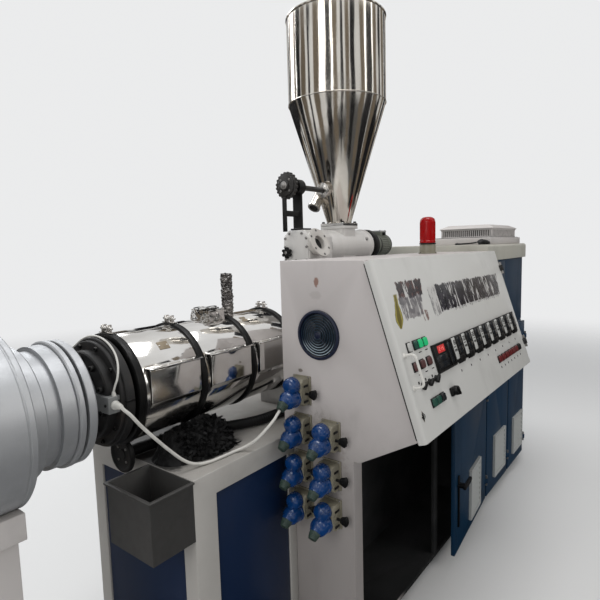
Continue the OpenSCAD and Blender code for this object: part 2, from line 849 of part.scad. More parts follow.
// Geared motor behind the feeder: dark flange, gear case, waist and ribbed motor with its terminal box.
module feeder_motor()
    color("slategray") {
        translate([hopper_x + 243, 0, feeder_z])
            rotate([0, 90, 0])
                rotate_extrude()
                    polygon([[0, 0], [feeder_r + 6, 0], [feeder_r + 6, 34], [feeder_r, 40], [62, 40], [62, 92],
                             [52, 96], [52, 112], [62, 116], [62, 122], [58, 123], [58, 135], [62, 136], [62, 148],
                             [58, 149], [58, 161], [62, 162], [62, 174], [58, 175], [58, 187], [62, 188],
                             [62, 206], [56, 226], [40, 242], [0, 242]]);
        block(hopper_x + 365, hopper_x + 433, -36, 36, feeder_z + 50, feeder_z + 80);
    }

// Hopper of bright sheet steel: bolted square flange, cone, seam bead, straight part with a rolled rim,
// a capped stub pipe low on the cone and a sight strip with its two fittings.
module hopper()
    color("silver")
        translate([hopper_x, 0, 0]) {
            rotate_extrude($fn = 96)
                polygon([[neck_r - sheet, pad_top + 2], [neck_r + 2, pad_top + 2], [neck_r, cone_z],
                         [hopper_r, cone_top], [hopper_r, hopper_top], [hopper_r - sheet, hopper_top],
                         [hopper_r - sheet, cone_top], [neck_r - sheet, cone_z]]);
            difference() {
                block(-pad_half, pad_half, -pad_half, pad_half, pad_top, cone_z);
                translate([0, 0, pad_top - 1])
                    cylinder(h = flange_t + 2, r = neck_r - 2, $fn = 96);
            }
            for (x = [-1, 1])
                for (y = [-1, 1])
                    translate([x * (pad_half - 11), y * (pad_half - 11), cone_z - 1])
                        cylinder(h = 9, r = 8, $fn = 24);
            translate([0, 0, cone_top])
                rotate_extrude($fn = 96)
                    translate([hopper_r - 1, 0])
                        circle(r = 4, $fn = 24);
            translate([0, 0, hopper_top])
                rotate_extrude($fn = 96)
                    translate([hopper_r - 2, 0])
                        circle(r = 7, $fn = 24);
            difference() {
                translate([-135, 60, cone_z + 75])
                    rotate([0, 39, 0]) {
                        difference() {
                            cylinder(h = 126, r = 27, $fn = 40);
                            translate([0, 0, -1])
                                cylinder(h = 8, r = 21, $fn = 40);
                        }
                        cylinder(h = 12, r = 31, $fn = 40);
                    }
                translate([0, 0, cone_z])
                    cylinder(h = cone_h, r1 = neck_r - 2, r2 = hopper_r - 2, $fn = 96);
            }
            rotate([0, 0, -20])
                translate([(neck_r + hopper_r) / 2, 0, cone_z + cone_h / 2])
                    rotate([0, slant, 0]) {
                        translate([-2, -9, -20])
                            cube([8, 18, 250]);
                        for (z = [-20, 218])
                            translate([-2, -12, z])
                                cube([16, 24, 12]);
                    }
        }

// Bearing collar on the hopper's cone.
module hopper_collar()
    color("silver")
        difference() {
            union() {
                bar_x(hopper_x - 151, hopper_x - 67, 26, 0, wheel_z);
                bar_x(hopper_x - 146, hopper_x - 138, 36, 0, wheel_z);
            }
            bar_x(hopper_x - 157, hopper_x - 123, shaft_r + run_fit, 0, wheel_z);
            translate([hopper_x, 0, cone_z])
                cylinder(h = cone_h, r1 = neck_r + seat, r2 = hopper_r + seat, $fn = 96);
        }

// Black stand that carries the agitator's bearing, on its foot plate, with a cross bar and a second post.
module agitator_post()
    color("black") {
        difference() {
            union() {
                block(post_x, post_x + 12, -24, 24, feeder_z + 75, wheel_z + 20);
                bar_x(post_x - 16, post_x + 28, 34, 0, wheel_z);
            }
            bar_x(post_x - 22, post_x + 38, shaft_r + run_fit, 0, wheel_z);
        }
        block(post_x - 8, post_x + 60, -34, 34, feeder_z + 75, feeder_z + 83);
        block(post_x - 82, post_x, -10, 10, wheel_z - 133, wheel_z - 109);
        block(post_x - 94, post_x - 82, -9, 9, feeder_z + 67, wheel_z - 52);
    }

// Chain wheel with its teeth, hub and shaft.
module chain_wheel()
    color("black") {
        translate([wheel_x - 14, 0, wheel_z])
            rotate([90, 0, 90])
                linear_extrude(height = 12)
                    difference() {
                        circle(r = wheel_r);
                        for (i = [0 : teeth - 1])
                            rotate(i * 360 / teeth)
                                translate([wheel_r + 1, 0])
                                    circle(r = 6, $fn = 24);
                    }
        bar_x(wheel_x - 20, wheel_x - 2, 46, 0, wheel_z);
        bar_x(wheel_x - 30, wheel_x + 38, 22, 0, wheel_z);
        bar_x(wheel_x - 2, hopper_x - 125, shaft_r, 0, wheel_z);
    }

// Black scrap that lies in a heap on the bed.
module scrap_heap()
    color("black")
        difference() {
            union() {
                translate([-316, -94, bed_top])
                    cylinder(h = 138, r1 = 114, r2 = 36, $fn = 48);
                translate([-268, -122, bed_top])
                    cylinder(h = 88, r1 = 84, r2 = 34, $fn = 48);
                translate([-390, -96, bed_top])
                    cylinder(h = 96, r1 = 84, r2 = 32, $fn = 48);
            }
            bar_x(-600, 0, shield_r + 12);
            bar_x(-600, 200, hose_r + 12, 10, bed_top + hose_r + 1);
            block(-300, 0, -90, 200, bed_top - 1, bed_top + 48);
        }

// Heater cable from the first plug over the bed and up to the adapter, and the thin cable over the adapter.
module heater_cable()
    color("white") {
        cord(curve(cable_path, 4), cable_r, 8);
        cord(curve(thin_path, 3), thin_r, 8);
    }

// Black hose that lies on the bed under the shields.
module bed_hose()
    color("black")
        cord(curve(hose_path, 3), hose_r, 12);

bed_frame();
bed_panels();
end_tray();
barrel();
adapter();
heat_shields();
shield_bands();
barrel_vent();
die_rings();
die_flanges();
die_stand();
cabinet();
feet();
fan_grille();
socket_bodies();
socket_levers();
plugs();
console_lid();
lid_handle();
controllers();
console_controls();
drive_housing();
roof_cover();
hinges();
door_1();
door_2();
door_3();
louvre_1();
louvre_2();
louvre_3();
door_handle();
cooling_unit();
beacon_base();
beacon_lens();
feeder_housing();
feeder_knob();
inspection_flange();
feeder_motor();
hopper();
hopper_collar();
agitator_post();
chain_wheel();
scrap_heap();
heater_cable();
bed_hose();
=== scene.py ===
# %% [markdown]
# # Dressing a plastic extruder
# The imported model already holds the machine: bed, barrel, cabinet, console, drive housing, feeder and hopper, each at
# its real size and place. This lesson gives it the looks: rounded edges, small parts and painted, polished or moulded
# surfaces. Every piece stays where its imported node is, so the doors, the console's lid and the chain wheel still turn.

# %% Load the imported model
import math
import random

import bmesh
import bpy
from mathutils import Matrix, Vector, noise
from mathutils.bvhtree import BVHTree


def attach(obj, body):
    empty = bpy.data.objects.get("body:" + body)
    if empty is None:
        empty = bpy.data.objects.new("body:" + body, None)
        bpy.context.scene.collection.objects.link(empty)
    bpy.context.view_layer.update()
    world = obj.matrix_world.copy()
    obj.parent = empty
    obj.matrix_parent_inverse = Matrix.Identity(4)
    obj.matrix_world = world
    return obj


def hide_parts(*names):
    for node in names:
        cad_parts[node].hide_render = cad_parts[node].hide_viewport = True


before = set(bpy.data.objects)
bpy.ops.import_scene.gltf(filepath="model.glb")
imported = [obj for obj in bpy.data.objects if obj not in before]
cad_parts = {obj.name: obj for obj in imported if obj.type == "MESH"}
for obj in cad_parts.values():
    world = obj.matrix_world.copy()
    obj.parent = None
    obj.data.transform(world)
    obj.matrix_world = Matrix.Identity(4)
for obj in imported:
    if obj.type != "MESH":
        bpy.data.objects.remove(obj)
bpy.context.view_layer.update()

# %% [markdown]
# ## Camera
# The camera stands ahead of the die on the operator's side, at eye height, and looks along the machine. Its turn is
# built from a heading, a dip and a small roll, so each can be corrected on its own while comparing with the picture.

# %% Camera
picture_width, focal_length = 600, 493.2  # in pixels
heading, dip, roll = (math.radians(angle) for angle in (37.96, 6.04, 1.57))
ahead = Vector((math.cos(heading) * math.cos(dip), math.sin(heading) * math.cos(dip), -math.sin(dip)))
right = Vector((math.sin(heading), -math.cos(heading), 0))
down = ahead.cross(right)
right, down = (right * math.cos(roll) + down * math.sin(roll), down * math.cos(roll) - right * math.sin(roll))
camera = bpy.data.objects.new("camera", bpy.data.cameras.new("camera"))
bpy.context.collection.objects.link(camera)
camera.matrix_world = (Matrix.Translation((-1.3725, -1.395, 1.5))
                       @ Matrix((right, -down, -ahead)).transposed().to_4x4())
camera.data.sensor_width = 36
camera.data.lens = camera.data.sensor_width * focal_length / picture_width
bpy.context.scene.camera = camera
bpy.context.scene.view_settings.view_transform = "Standard"
print("camera looks along", [round(v, 3) for v in ahead])

# %% [markdown]
# ## Writing shaders as plain arithmetic
# A shader is a web of small nodes. Linking them by hand hides the idea behind it, so one small class holds a node's
# output and turns `1 - dust * 2` into Math nodes. A second class holds a finish: one method adds any node, and a few
# more make the things that every finish needs, which are noise, soft steps, colour mixes and bumps.

# %% Wire: one value of a shader
class Wire:
    """The output of a shader node. Arithmetic on it adds Math nodes."""

    def __init__(self, finish, socket):
        self.finish, self.socket = finish, socket

    def math(self, operation, first, second=None):
        return self.finish.add("ShaderNodeMath", {"operation": operation}, first, second)

    def __add__(self, other):
        return self.math("ADD", self, other)

    def __mul__(self, other):
        return self.math("MULTIPLY", self, other)

    def __sub__(self, other):
        return self.math("SUBTRACT", self, other)

    def __truediv__(self, other):
        return self.math("DIVIDE", self, other)

    def __abs__(self):
        return self.math("ABSOLUTE", self)

    def most(self, other):
        return self.math("MAXIMUM", self, other)

    def step(self, low, high, bottom=0.0, top=1.0):
        """A soft step: bottom below low, top above high."""
        return self.finish.add("ShaderNodeMapRange", {"interpolation_type": "SMOOTHSTEP"}, self, low, high, bottom, top)

    __radd__, __rmul__ = __add__, __mul__


# %% Finish: one material
def shade(red, green, blue):
    """A colour picked on a screen, 0 to 255, as the linear light that shaders use."""
    return tuple(c / 3294.6 if c <= 10.3 else ((c / 255 + 0.055) / 1.055) ** 2.4 for c in (red, green, blue))


def scaled(colour, by, plus=0.0):
    """A colour made darker, with a little grey added."""
    return tuple(c * by + plus for c in colour)


class Finish:
    """A material. Its shader's own sockets are set by name, and add() makes any other node."""

    def __init__(self, name, **sockets):
        self.material = bpy.data.materials.new(name)
        self.material.use_nodes = True
        self.tree = self.material.node_tree
        self.shader = self.tree.nodes["Principled BSDF"]
        self.place = self.add("ShaderNodeTexCoord", {"out": "Object"})
        self.set(**sockets)

    def put(self, socket, value):
        if isinstance(value, Wire):
            self.tree.links.new(value.socket, socket)
        elif value is not None:
            wide = socket.type == "RGBA" and len(value) == 3
            socket.default_value = (*value, 1) if wide else value

    def set(self, **sockets):
        for name, value in sockets.items():
            self.put(self.shader.inputs[name.replace("_", " ")], value)

    def now(self, socket):
        """What feeds one of the shader's sockets so far."""
        return Wire(self, self.shader.inputs[socket].links[0].from_socket)

    def add(self, kind, settings, *values, **named):
        """A node of a kind: its settings first, then its sockets by order or by name. Returns its output."""
        node = self.tree.nodes.new(kind)
        out = settings.pop("out", 0)
        for name, value in settings.items():
            setattr(node, name, value)
        for socket, value in zip(node.inputs, values):
            self.put(socket, value)
        for name, value in named.items():
            self.put(node.inputs[name], value)
        return Wire(self, node.outputs[out])

    def axis(self, name, source=None):
        return self.add("ShaderNodeSeparateXYZ", {"out": name}, source or self.place)

    def normal(self):
        return self.add("ShaderNodeNewGeometry", {"out": "Normal"})

    def stretched(self, scale, centre=(0, 0, 0)):
        """Object coordinates about a centre, scaled so that a pattern can run along a piece."""
        moved = self.add("ShaderNodeMapping", {"vector_type": "TEXTURE"}, self.place, centre)
        return self.add("ShaderNodeMapping", {}, moved, Scale=scale)

    def noise(self, scale, detail=3, source=None, roughness=0.5):
        return self.add("ShaderNodeTexNoise", {}, source or self.place, Scale=scale, Detail=detail, Roughness=roughness)

    def mix(self, amount, first, second):
        """One colour blended over another."""
        return self.add("ShaderNodeMix", {"data_type": "RGBA", "out": 2}, amount, None, None, None, None, None,
                        first, second)

    def bump(self, height, distance, normal=None):
        return self.add("ShaderNodeBump", {}, Strength=1.0, Distance=distance, Height=height, Normal=normal)

    def rounded(self, radius):
        """A normal that is smoothed over hard edges, as if they had a small radius."""
        return self.add("ShaderNodeBevel", {"samples": 4}, radius) if radius else None

    def facing_up(self):
        return self.axis("Z", self.normal())

    def worn_edges(self, radius):
        """1 near a hard outer edge and 0 on the flats."""
        apart = self.add("ShaderNodeVectorMath", {"operation": "DOT_PRODUCT", "out": 1}, self.normal(),
                         self.rounded(radius))
        return apart.step(0.97, 0.85)


print("Wire and Finish ready")

# %% [markdown]
# ## Paint
# Sheet metal in a workshop is sprayed with thick paint. Close up it has a fine ripple called orange peel, from further
# off it shows hand smudges and dust that settles on whatever faces up, and its edges chip first. One function makes any
# such paint from a colour, so that white, blue and silver panels age alike. The ripple goes into the normal, the rest
# into colour and roughness.

# %% Sprayed paint
def sprayed(name, colour, gloss=0.4, grime=0.35, grime_colour=(0.10, 0.085, 0.07), dust=0.25, coat=0.15, chips=0.5,
            ripple=0.00012, rounding=0.0, shine=0.5):
    """Paint with orange peel, smudges, dust on top and chipped edges."""
    paint = Finish(name, Coat_Weight=coat, Coat_Roughness=0.12, Specular_IOR_Level=shine)
    cloud = paint.noise(2.3, 6, roughness=0.62)
    wipes = paint.noise(9, 5, paint.stretched((1, 1, 0.25)), 0.6)
    smudge = (cloud * 0.6 + wipes * 0.5).step(0.56, 0.78) * grime
    tint = paint.mix(paint.noise(0.9, 2) * 0.25, colour, scaled(colour, 0.82))
    tint = paint.mix(smudge, tint, tuple(c * 0.55 + g * 0.45 for c, g in zip(colour, grime_colour)))
    settled = paint.facing_up().step(0.55, 0.95) * paint.noise(14, 6).step(0.35, 0.7) * dust
    tint = paint.mix(settled, tint, (0.36, 0.33, 0.29))
    if chips:
        chipped = paint.worn_edges(0.004) * paint.noise(46, 4).step(0.55, 0.63) * chips
        tint = paint.mix(chipped, tint, (0.12, 0.11, 0.10))
    peel = paint.noise(420, 2) + paint.noise(90, 2) * 0.6
    paint.set(Base_Color=tint, Roughness=gloss + smudge * 0.25 + settled * 0.5 + wipes * 0.08,
              Normal=paint.bump(peel, ripple, paint.rounded(rounding)))
    return paint


white_paint = sprayed("white_paint", shade(196, 191, 188), 0.38, 0.45, rounding=0.002, shine=0.4)
blue_paint = sprayed("blue_paint", shade(14, 48, 74), 0.34, 0.45, (0.008, 0.010, 0.012), coat=0.06, chips=0.35,
                     rounding=0.002, shine=0.28)
# Painted reflection: the blue grows paler towards the top, as if it reflected the pale hall.
painted_reflection_high = blue_paint.axis("Z").step(0.9, 1.3) * 0.07
blue_paint.set(Base_Color=blue_paint.mix(painted_reflection_high, blue_paint.now("Base Color"), (0.30, 0.34, 0.38)))
dark_blue_paint = sprayed("dark_blue_paint", shade(17, 26, 50), 0.35, 0.2, (0.02, 0.02, 0.02), coat=0.1, shine=0.35)
grey_white_paint = sprayed("grey_white_paint", shade(168, 170, 168), 0.5, 0.5, rounding=0.001)
cast_silver = sprayed("cast_silver", shade(216, 213, 209), 0.28, 0.5, ripple=0.0007, coat=0.4, rounding=0.003)
motor_green = sprayed("motor_green", shade(110, 114, 104), 0.42, 0.5, rounding=0.002)
black_enamel = sprayed("black_enamel", shade(14, 14, 14), 0.40, 0.4, (0.06, 0.05, 0.04), chips=0.3, coat=0.05,
                       rounding=0.0015, shine=0.3)
print("paints", [m.name for m in bpy.data.materials if "paint" in m.name])

# %% [markdown]
# ## Bare metal
# Three metals matter here. The heat shields and the hopper are polished stainless sheet: mirror-bright, but rolled and
# bent by hand, so straight things look wavy in them. The die head is turned steel, with fine rings from the lathe. The
# adapter has been hot for years and is almost black, with rust-brown breath on it. Each pattern is stretched the way
# the metal was worked.

# %% Polished sheet
def polished(name, stretch, colour=(0.80, 0.785, 0.76), wave=0.0016, haze=0.05, ripples=0.12):
    """Mirror-bright sheet with faint darker streaks along its bending direction, partly rolling marks and partly
    painted reflection.
    """
    metal = Finish(name, Metallic=1.0)
    along = metal.stretched(stretch)
    film = metal.noise(3.1, 5, roughness=0.65).step(0.48, 0.75)
    # Partly painted reflection: darker streaks in the colour run along the bending direction and stand in for the dark
    # and light surroundings that the sheet reflects; they also serve as the sheet's own rolling marks.
    tint = metal.mix(metal.noise(6, 4, along, 0.6).step(0.35, 0.7), colour, scaled(colour, 0.80))
    tint = metal.mix(film * 0.35, tint, (0.52, 0.47, 0.40))
    dents = metal.noise(3.5, 2, along) * 0.75 + metal.noise(17, 2, along) * ripples
    metal.set(Base_Color=tint, Roughness=haze + film * 0.12 + metal.noise(240, 2, along) * 0.05,
              Normal=metal.bump(dents, wave))
    return metal


even = (1, 1, 1)
shield_steel = polished("shield_steel", (0.35, 1, 1))
hopper_steel = polished("hopper_steel", (1, 1, 0.08), (0.70, 0.665, 0.61), wave=0.0045, ripples=0.30, haze=0.07)
foil_steel = polished("foil_steel", even, wave=0.012, haze=0.09)
wrap_foil = polished("wrap_foil", even, (0.22, 0.21, 0.205), wave=0.014, haze=0.16, ripples=0.3)
bright_steel = polished("bright_steel", even, wave=0.0004, haze=0.16)


# %% Turned and burnt steel
def turned(name, colour, rough, grime, metallic=0.85):
    """Steel from a lathe: fine rings round the barrel's axis, and a dull film."""
    metal = Finish(name, Metallic=metallic)
    rings = metal.noise(900, 2, metal.stretched((1, 0.02, 0.02)))
    film = metal.noise(5, 6, roughness=0.65).step(0.42, 0.72)
    tint = metal.mix(film * grime, colour, scaled(colour, 0.5))
    tint = metal.mix(rings * 0.3, tint, scaled(colour, 0.75))
    metal.set(Base_Color=tint, Roughness=rough + film * 0.15 + rings * 0.1,
              Normal=metal.bump(rings, 0.0002, metal.rounded(0.002)))
    return metal


die_steel = turned("die_steel", (0.47, 0.48, 0.495), 0.36, 0.4, metallic=0.55)
tool_steel = turned("tool_steel", (0.36, 0.35, 0.34), 0.38, 0.6)
burnt_steel = turned("burnt_steel", (0.024, 0.023, 0.023), 0.42, 0.3, metallic=0.0)
scale_brown = burnt_steel.noise(11, 7, roughness=0.7).step(0.52, 0.68) * 0.5
burnt_steel.set(Specular_IOR_Level=0.3,
                Base_Color=burnt_steel.mix(scale_brown, (0.016, 0.0155, 0.0155), (0.045, 0.034, 0.027)))
print("metals ready")

# %% [markdown]
# ## Plastic and rubber
# Moulded plastic has a fine grain and an even colour. What tells it from paint is a softer highlight, a little
# yellowing or fading, and dirt that stays in the grain.

# %% Moulded plastic
def moulded(name, colour, gloss=0.4, grain=0.00008, fade=0.2, grime=0.3, rounding=0.001, **sockets):
    """Moulded plastic or rubber with a fine grain, a faded bloom and some dirt."""
    plastic = Finish(name, **sockets)
    bloom = plastic.noise(7, 4)
    dirt = plastic.noise(22, 6, roughness=0.65).step(0.5, 0.72) * grime
    tint = plastic.mix(bloom * fade, colour, scaled(colour, 0.7, 0.05))
    tint = plastic.mix(dirt, tint, scaled(colour, 0.45, 0.012))
    plastic.set(Base_Color=tint, Roughness=gloss + dirt * 0.3 + bloom * 0.06,
                Normal=plastic.bump(plastic.noise(900, 2), grain, plastic.rounded(rounding)))
    return plastic


beige_plastic = moulded("beige_plastic", shade(128, 123, 106), 0.42, grime=0.6)
blue_plastic = moulded("blue_plastic", shade(7, 54, 108), 0.10, grime=0.8, fade=0.03, Coat_Weight=0.4,
                       Coat_Roughness=0.06)
black_plastic = moulded("black_plastic", shade(11, 11, 12), 0.36, grime=0.2, fade=0.06, Specular_IOR_Level=0.28)
black_rubber = moulded("black_rubber", shade(14, 14, 15), 0.5, grime=0.5, fade=0.15, Specular_IOR_Level=0.28)
white_rubber = moulded("white_rubber", shade(206, 204, 198), 0.45, grime=0.4, rounding=0)
gland_rubber = moulded("gland_rubber", shade(44, 62, 54), 0.5, grime=0.4)
print("plastics ready")

# %% [markdown]
# ## A few shapes to build with
# Machine parts are mostly turned, folded or cut from plate. So four shapes go a long way: a block with rounded edges, a
# turned shape spun from its outline, a plate cut to an outline, and a rod. Each comes back as a small bmesh of its own,
# and join() places it in the piece with one of the piece's finishes. Sizes are given in millimetres, as on a drawing,
# and the measures that many pieces share have names.

# %% Shapes
barrel_z, feeder_z, hopper_x = 1080, 1505, 757


def bevel(bm, edges, offset, segments):
    if offset and edges:
        bmesh.ops.bevel(bm, geom=edges, offset=offset / 1000, affect="EDGES", segments=segments, profile=0.5,
                        material=-1)
    return bm


def round_edges(bm, offset, segments=2, sharper=25):
    """Bevels every edge that is sharper than an angle."""
    hard = [e for e in bm.edges if e.is_manifold and e.calc_face_angle(0) > math.radians(sharper)]
    return bevel(bm, hard, offset, segments)


def block(low, high, edge=1, segments=2):
    """A block between two corners."""
    low, high = Vector(low) / 1000, Vector(high) / 1000
    bm = bmesh.new()
    size = Matrix.Diagonal((*(high - low), 1))
    bmesh.ops.create_cube(bm, size=1, matrix=Matrix.Translation((low + high) / 2) @ size)
    return round_edges(bm, edge, segments)


def cushion(low, high, corner, segments):
    """A block whose upright edges alone are rounded."""
    bm = block(low, high, 0)
    upright = [e for e in bm.edges if abs(e.verts[0].co.z - e.verts[1].co.z) > 0.001]
    return bevel(bm, upright, corner, segments)


def lathe(profile, steps=48, edge=0, closed=False):
    """A shape turned about Z from (radius, height) points."""
    bm = bmesh.new()
    points = [bm.verts.new((r / 1000, 0, h / 1000)) for r, h in profile]
    edges = [bm.edges.new(pair) for pair in zip(points, points[1:] + points[:1] * closed)]
    bmesh.ops.spin(bm, geom=points + edges, cent=(0, 0, 0), axis=(0, 0, 1), dvec=(0, 0, 0), angle=math.tau,
                   steps=steps, use_merge=True)
    bmesh.ops.remove_doubles(bm, verts=bm.verts, dist=1e-6)
    bmesh.ops.recalc_face_normals(bm, faces=bm.faces)
    return round_edges(bm, edge)


def washer(inner, outer, low, high, steps, edge=0):
    """A ring of square section."""
    return lathe([(inner, low), (outer, low), (outer, high), (inner, high)], steps, edge, closed=True)


def plate(outline, thickness, edge=1, segments=2):
    """A plate cut to an outline in XY, raised along Z."""
    bm = bmesh.new()
    face = bm.faces.new([bm.verts.new((x / 1000, y / 1000, 0)) for x, y in outline])
    raised = bmesh.ops.extrude_face_region(bm, geom=[face])["geom"]
    bmesh.ops.translate(bm, vec=(0, 0, thickness / 1000),
                        verts=[v for v in raised if isinstance(v, bmesh.types.BMVert)])
    bmesh.ops.recalc_face_normals(bm, faces=bm.faces)
    return round_edges(bm, edge, segments)


def rod(radius, length, sides=32, edge=0.8):
    """A rod along Z from 0 to its length."""
    bm = bmesh.new()
    bmesh.ops.create_cone(bm, cap_ends=True, segments=sides, radius1=radius / 1000, radius2=radius / 1000,
                          depth=length / 1000, matrix=at(z=length / 2))
    return round_edges(bm, edge)


def wire_ring(radius, thick, height=0, steps=96, sides=12):
    """A round wire bent into a ring about Z."""
    around = [k * math.tau / sides for k in range(sides)]
    return lathe([(radius + thick * math.cos(t), height + thick * math.sin(t)) for t in around], steps, closed=True)


def screw(radius, height):
    """A round screw head with a hexagon socket."""
    return lathe([(0, height * 0.45), (0.55 * radius, height * 0.45), (0.55 * radius, height), (radius * 0.86, height),
                  (radius, height * 0.86), (radius, 0)], 24)


def bolt(radius, height):
    """A hexagon head on its washer."""
    head = rod(radius * 1.25, height * 0.25, 24, 0.4)
    return join(head, rod(radius, height * 0.8, 6, radius * 0.08), at(z=height * 0.2))


# %% Places
def at(x=0, y=0, z=0, turn=0, about="Z"):
    return Matrix.Translation(Vector((x, y, z)) / 1000) @ Matrix.Rotation(math.radians(turn), 4, about)


def to_drive(x, y=0, z=barrel_z):
    """Places a shape so that its Z runs along the machine towards the drive."""
    return at(x, y, z, 90, "Y")


def to_die(x, y=0, z=barrel_z):
    """The other way: its Z runs towards the die."""
    return at(x, y, z, -90, "Y")


def across(x, y=0, z=barrel_z):
    """Stands an outline up across the machine, facing along it."""
    return at(x, y, z, 90) @ at(turn=90, about="X")


def ring(count, radius, first=0.0):
    """Points spaced evenly round a circle, from a first angle in degrees."""
    for k in range(count):
        angle = math.radians(first + 360 * k / count)
        yield radius * math.cos(angle), radius * math.sin(angle)


def join(bm, part, place=None, finish=0):
    """Adds a small shape to a piece."""
    if place is not None:
        bmesh.ops.transform(part, matrix=place, verts=part.verts)
    for face in part.faces:
        face.material_index = finish
    carrier = bpy.data.meshes.new("carrier")
    part.to_mesh(carrier)
    part.free()
    bm.from_mesh(carrier)
    bpy.data.meshes.remove(carrier)
    return bm


def join_blocks(bm, finish, *rows):
    """Adds several blocks, each given by two corners and perhaps its edge and segments."""
    for row in rows:
        join(bm, block(*row), finish=finish)


print("shapes ready")

# %% [markdown]
# ## Pieces and softened copies
# Every finished piece goes through one function, which cleans it, names it and sets it on its body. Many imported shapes
# are already right: the cabinet, the housing, the bed. Their edges are knife-sharp, though, and real folded or cast
# edges catch a thin line of light. A copy of such a shape gets its triangles joined into flat faces, and its hard edges
# a small bevel.

# %% Pieces
def finish_mesh(bm, name, finishes, replaces=(), crease=32, body="machine"):
    """Turns a bmesh into a piece: doubles merged, faces outward, smooth except at edges sharper than crease."""
    bmesh.ops.remove_doubles(bm, verts=bm.verts, dist=1e-6)
    bmesh.ops.recalc_face_normals(bm, faces=bm.faces)
    mesh = bpy.data.meshes.new(name)
    bm.to_mesh(mesh)
    bm.free()
    for finish in finishes if isinstance(finishes, list) else [finishes]:
        mesh.materials.append(finish.material)
    mesh.shade_smooth()
    mesh.set_sharp_from_angle(angle=math.radians(crease))
    piece = bpy.data.objects.new(name, mesh)
    bpy.context.collection.objects.link(piece)
    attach(piece, body)
    if replaces:
        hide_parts(replaces)
    print(name, len(mesh.polygons), "faces")
    return piece


def soften(node, width, finish, segments=2, body="machine", kept=None):
    """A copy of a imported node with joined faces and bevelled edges, which takes the node's place."""
    bm = bmesh.new()
    bm.from_mesh(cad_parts[node].data)
    bmesh.ops.remove_doubles(bm, verts=bm.verts, dist=2e-6)
    if kept:
        bmesh.ops.delete(bm, geom=[vert for vert in bm.verts if not kept(vert.co)], context="VERTS")
    bmesh.ops.dissolve_limit(bm, angle_limit=math.radians(0.3), verts=bm.verts, edges=bm.edges)
    return finish_mesh(round_edges(bm, width, segments), node + "_soft", finish, node, body=body)


# %% Hinges
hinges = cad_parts["hinges"]
for place in hinges.material_slots:
    place.material = tool_steel.material
print("hinges keep their packed mesh:", len(hinges.data.polygons), "faces")

# %% [markdown]
# ## Cables and hose
# Three things on this machine are flexible: the white heater cable, which hangs from the first plug, lies across the
# bed and climbs to the adapter, the thin cable that goes on over the adapter's rim, and the black hose that lies under
# the heat shields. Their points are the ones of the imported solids, and a smooth line through them keeps the bends wide,
# as a real cord's are. One function sets a ring at every point of such a line, square to it, and bridges each ring to
# the one before. The hose is ribbed: each step along it is a little wider or narrower than the last.

# %% Tubes along a route
def smooth_route(points, steps):
    """A smooth line in metres through points in millimetres, with steps from each point to the next."""
    p = [Vector(q) / 1000 for q in points]
    p = [2 * p[0] - p[1]] + p + [2 * p[-1] - p[-2]]
    route = []
    for a, b, c, d in zip(p, p[1:], p[2:], p[3:]):
        for t in (k / steps for k in range(steps)):
            route.append(0.5 * (2 * b + t * (c - a) + t**2 * (2 * a - 5 * b + 4 * c - d)
                                + t**3 * (3 * b - a - 3 * c + d)))
    return route + [p[-2]]


def turn_along(direction, up=Vector((0, 0, 1))):
    """A rotation whose z axis points along a direction."""
    z = Vector(direction).normalized()
    x = up.cross(z)
    x = (x if x.length > 0.01 else Vector((1, 0, 0)).cross(z)).normalized()
    return Matrix((x, z.cross(x), z)).transposed().to_4x4()


def sweep(route, radii, sides=16):
    """A closed tube along a route in metres. Its radius in millimetres may be one number or one for every point."""
    bm, rings = bmesh.new(), []
    for i, here in enumerate(route):
        along = route[min(i + 1, len(route) - 1)] - route[max(i - 1, 0)]
        radius = radii[i] if isinstance(radii, list) else radii
        ring = bmesh.ops.create_circle(bm, segments=sides, radius=radius / 1000,
                                       matrix=Matrix.Translation(here) @ turn_along(along))["verts"]
        rings.append(list({edge for vert in ring for edge in vert.link_edges}))
    for before, after in zip(rings, rings[1:]):
        bmesh.ops.bridge_loops(bm, edges=before + after)
    for end in (rings[0], rings[-1]):
        bmesh.ops.contextual_create(bm, geom=end)
    return bm


# %% Cables and hose
def cord(name, route, radii, sides, finish, node):
    """A cord along a route, both of whose ends go into the machine."""
    run = finish_mesh(sweep(route, radii, sides), name, finish, node)
    length = sum((b - a).length for a, b in zip(route, route[1:]))
    print(name, round(length, 3), "m")


cable_points = [(-132, -326, 949), (-148, -326, 937), (-164, -326, 925), (-194, -314, 897), (-216, -288, 864),
                (-236, -256, 840), (-270, -238, 831), (-320, -236, 831), (-370, -230, 831), (-415, -221, 838),
                (-455, -213, 862), (-500, -205, 908), (-545, -198, 960), (-585, -195, 1008), (-612, -190, 1046),
                (-627, -184, 1064), (-634, -178, 1075), (-634, -164, 1075), (-634, -150, 1075)]
thin_half = [(-632, 144, 20.2), (-632, 144, 31), (-630, 149, 48), (-626, 156, 68), (-618, 151, 92), (-608, 133, 115),
             (-600, 107, 136), (-596, 72, 156.5), (-594, 25, 170)]
thin_points = [(x, side * y, barrel_z + z) for side, half in ((-1, thin_half), (1, thin_half[::-1]))
               for x, y, z in half]
hose_points = [(-492, 25, 846), (-464, 25, 846), (-436, 25, 846), (-380, 20, 846), (-310, 8, 846), (-240, -18, 846),
               (-170, -58, 846), (-100, -100, 846), (-30, -128, 846), (40, -138, 846), (120, -138, 846),
               (150, -138, 846), (180, -138, 846)]
cord("heater_cable_run", smooth_route(cable_points, 8), 5, 20, white_rubber,
     "heater_cable")
cord("thin_cable_run", smooth_route(thin_points, 8), 3, 20, white_rubber,
     "heater_cable")
hose_route = smooth_route(hose_points, 14)
ribs = [19.5 - 1.6 * (i % 2) for i in range(len(hose_route))]
cord("bed_hose_run", hose_route, ribs, 24, black_rubber, "bed_hose")

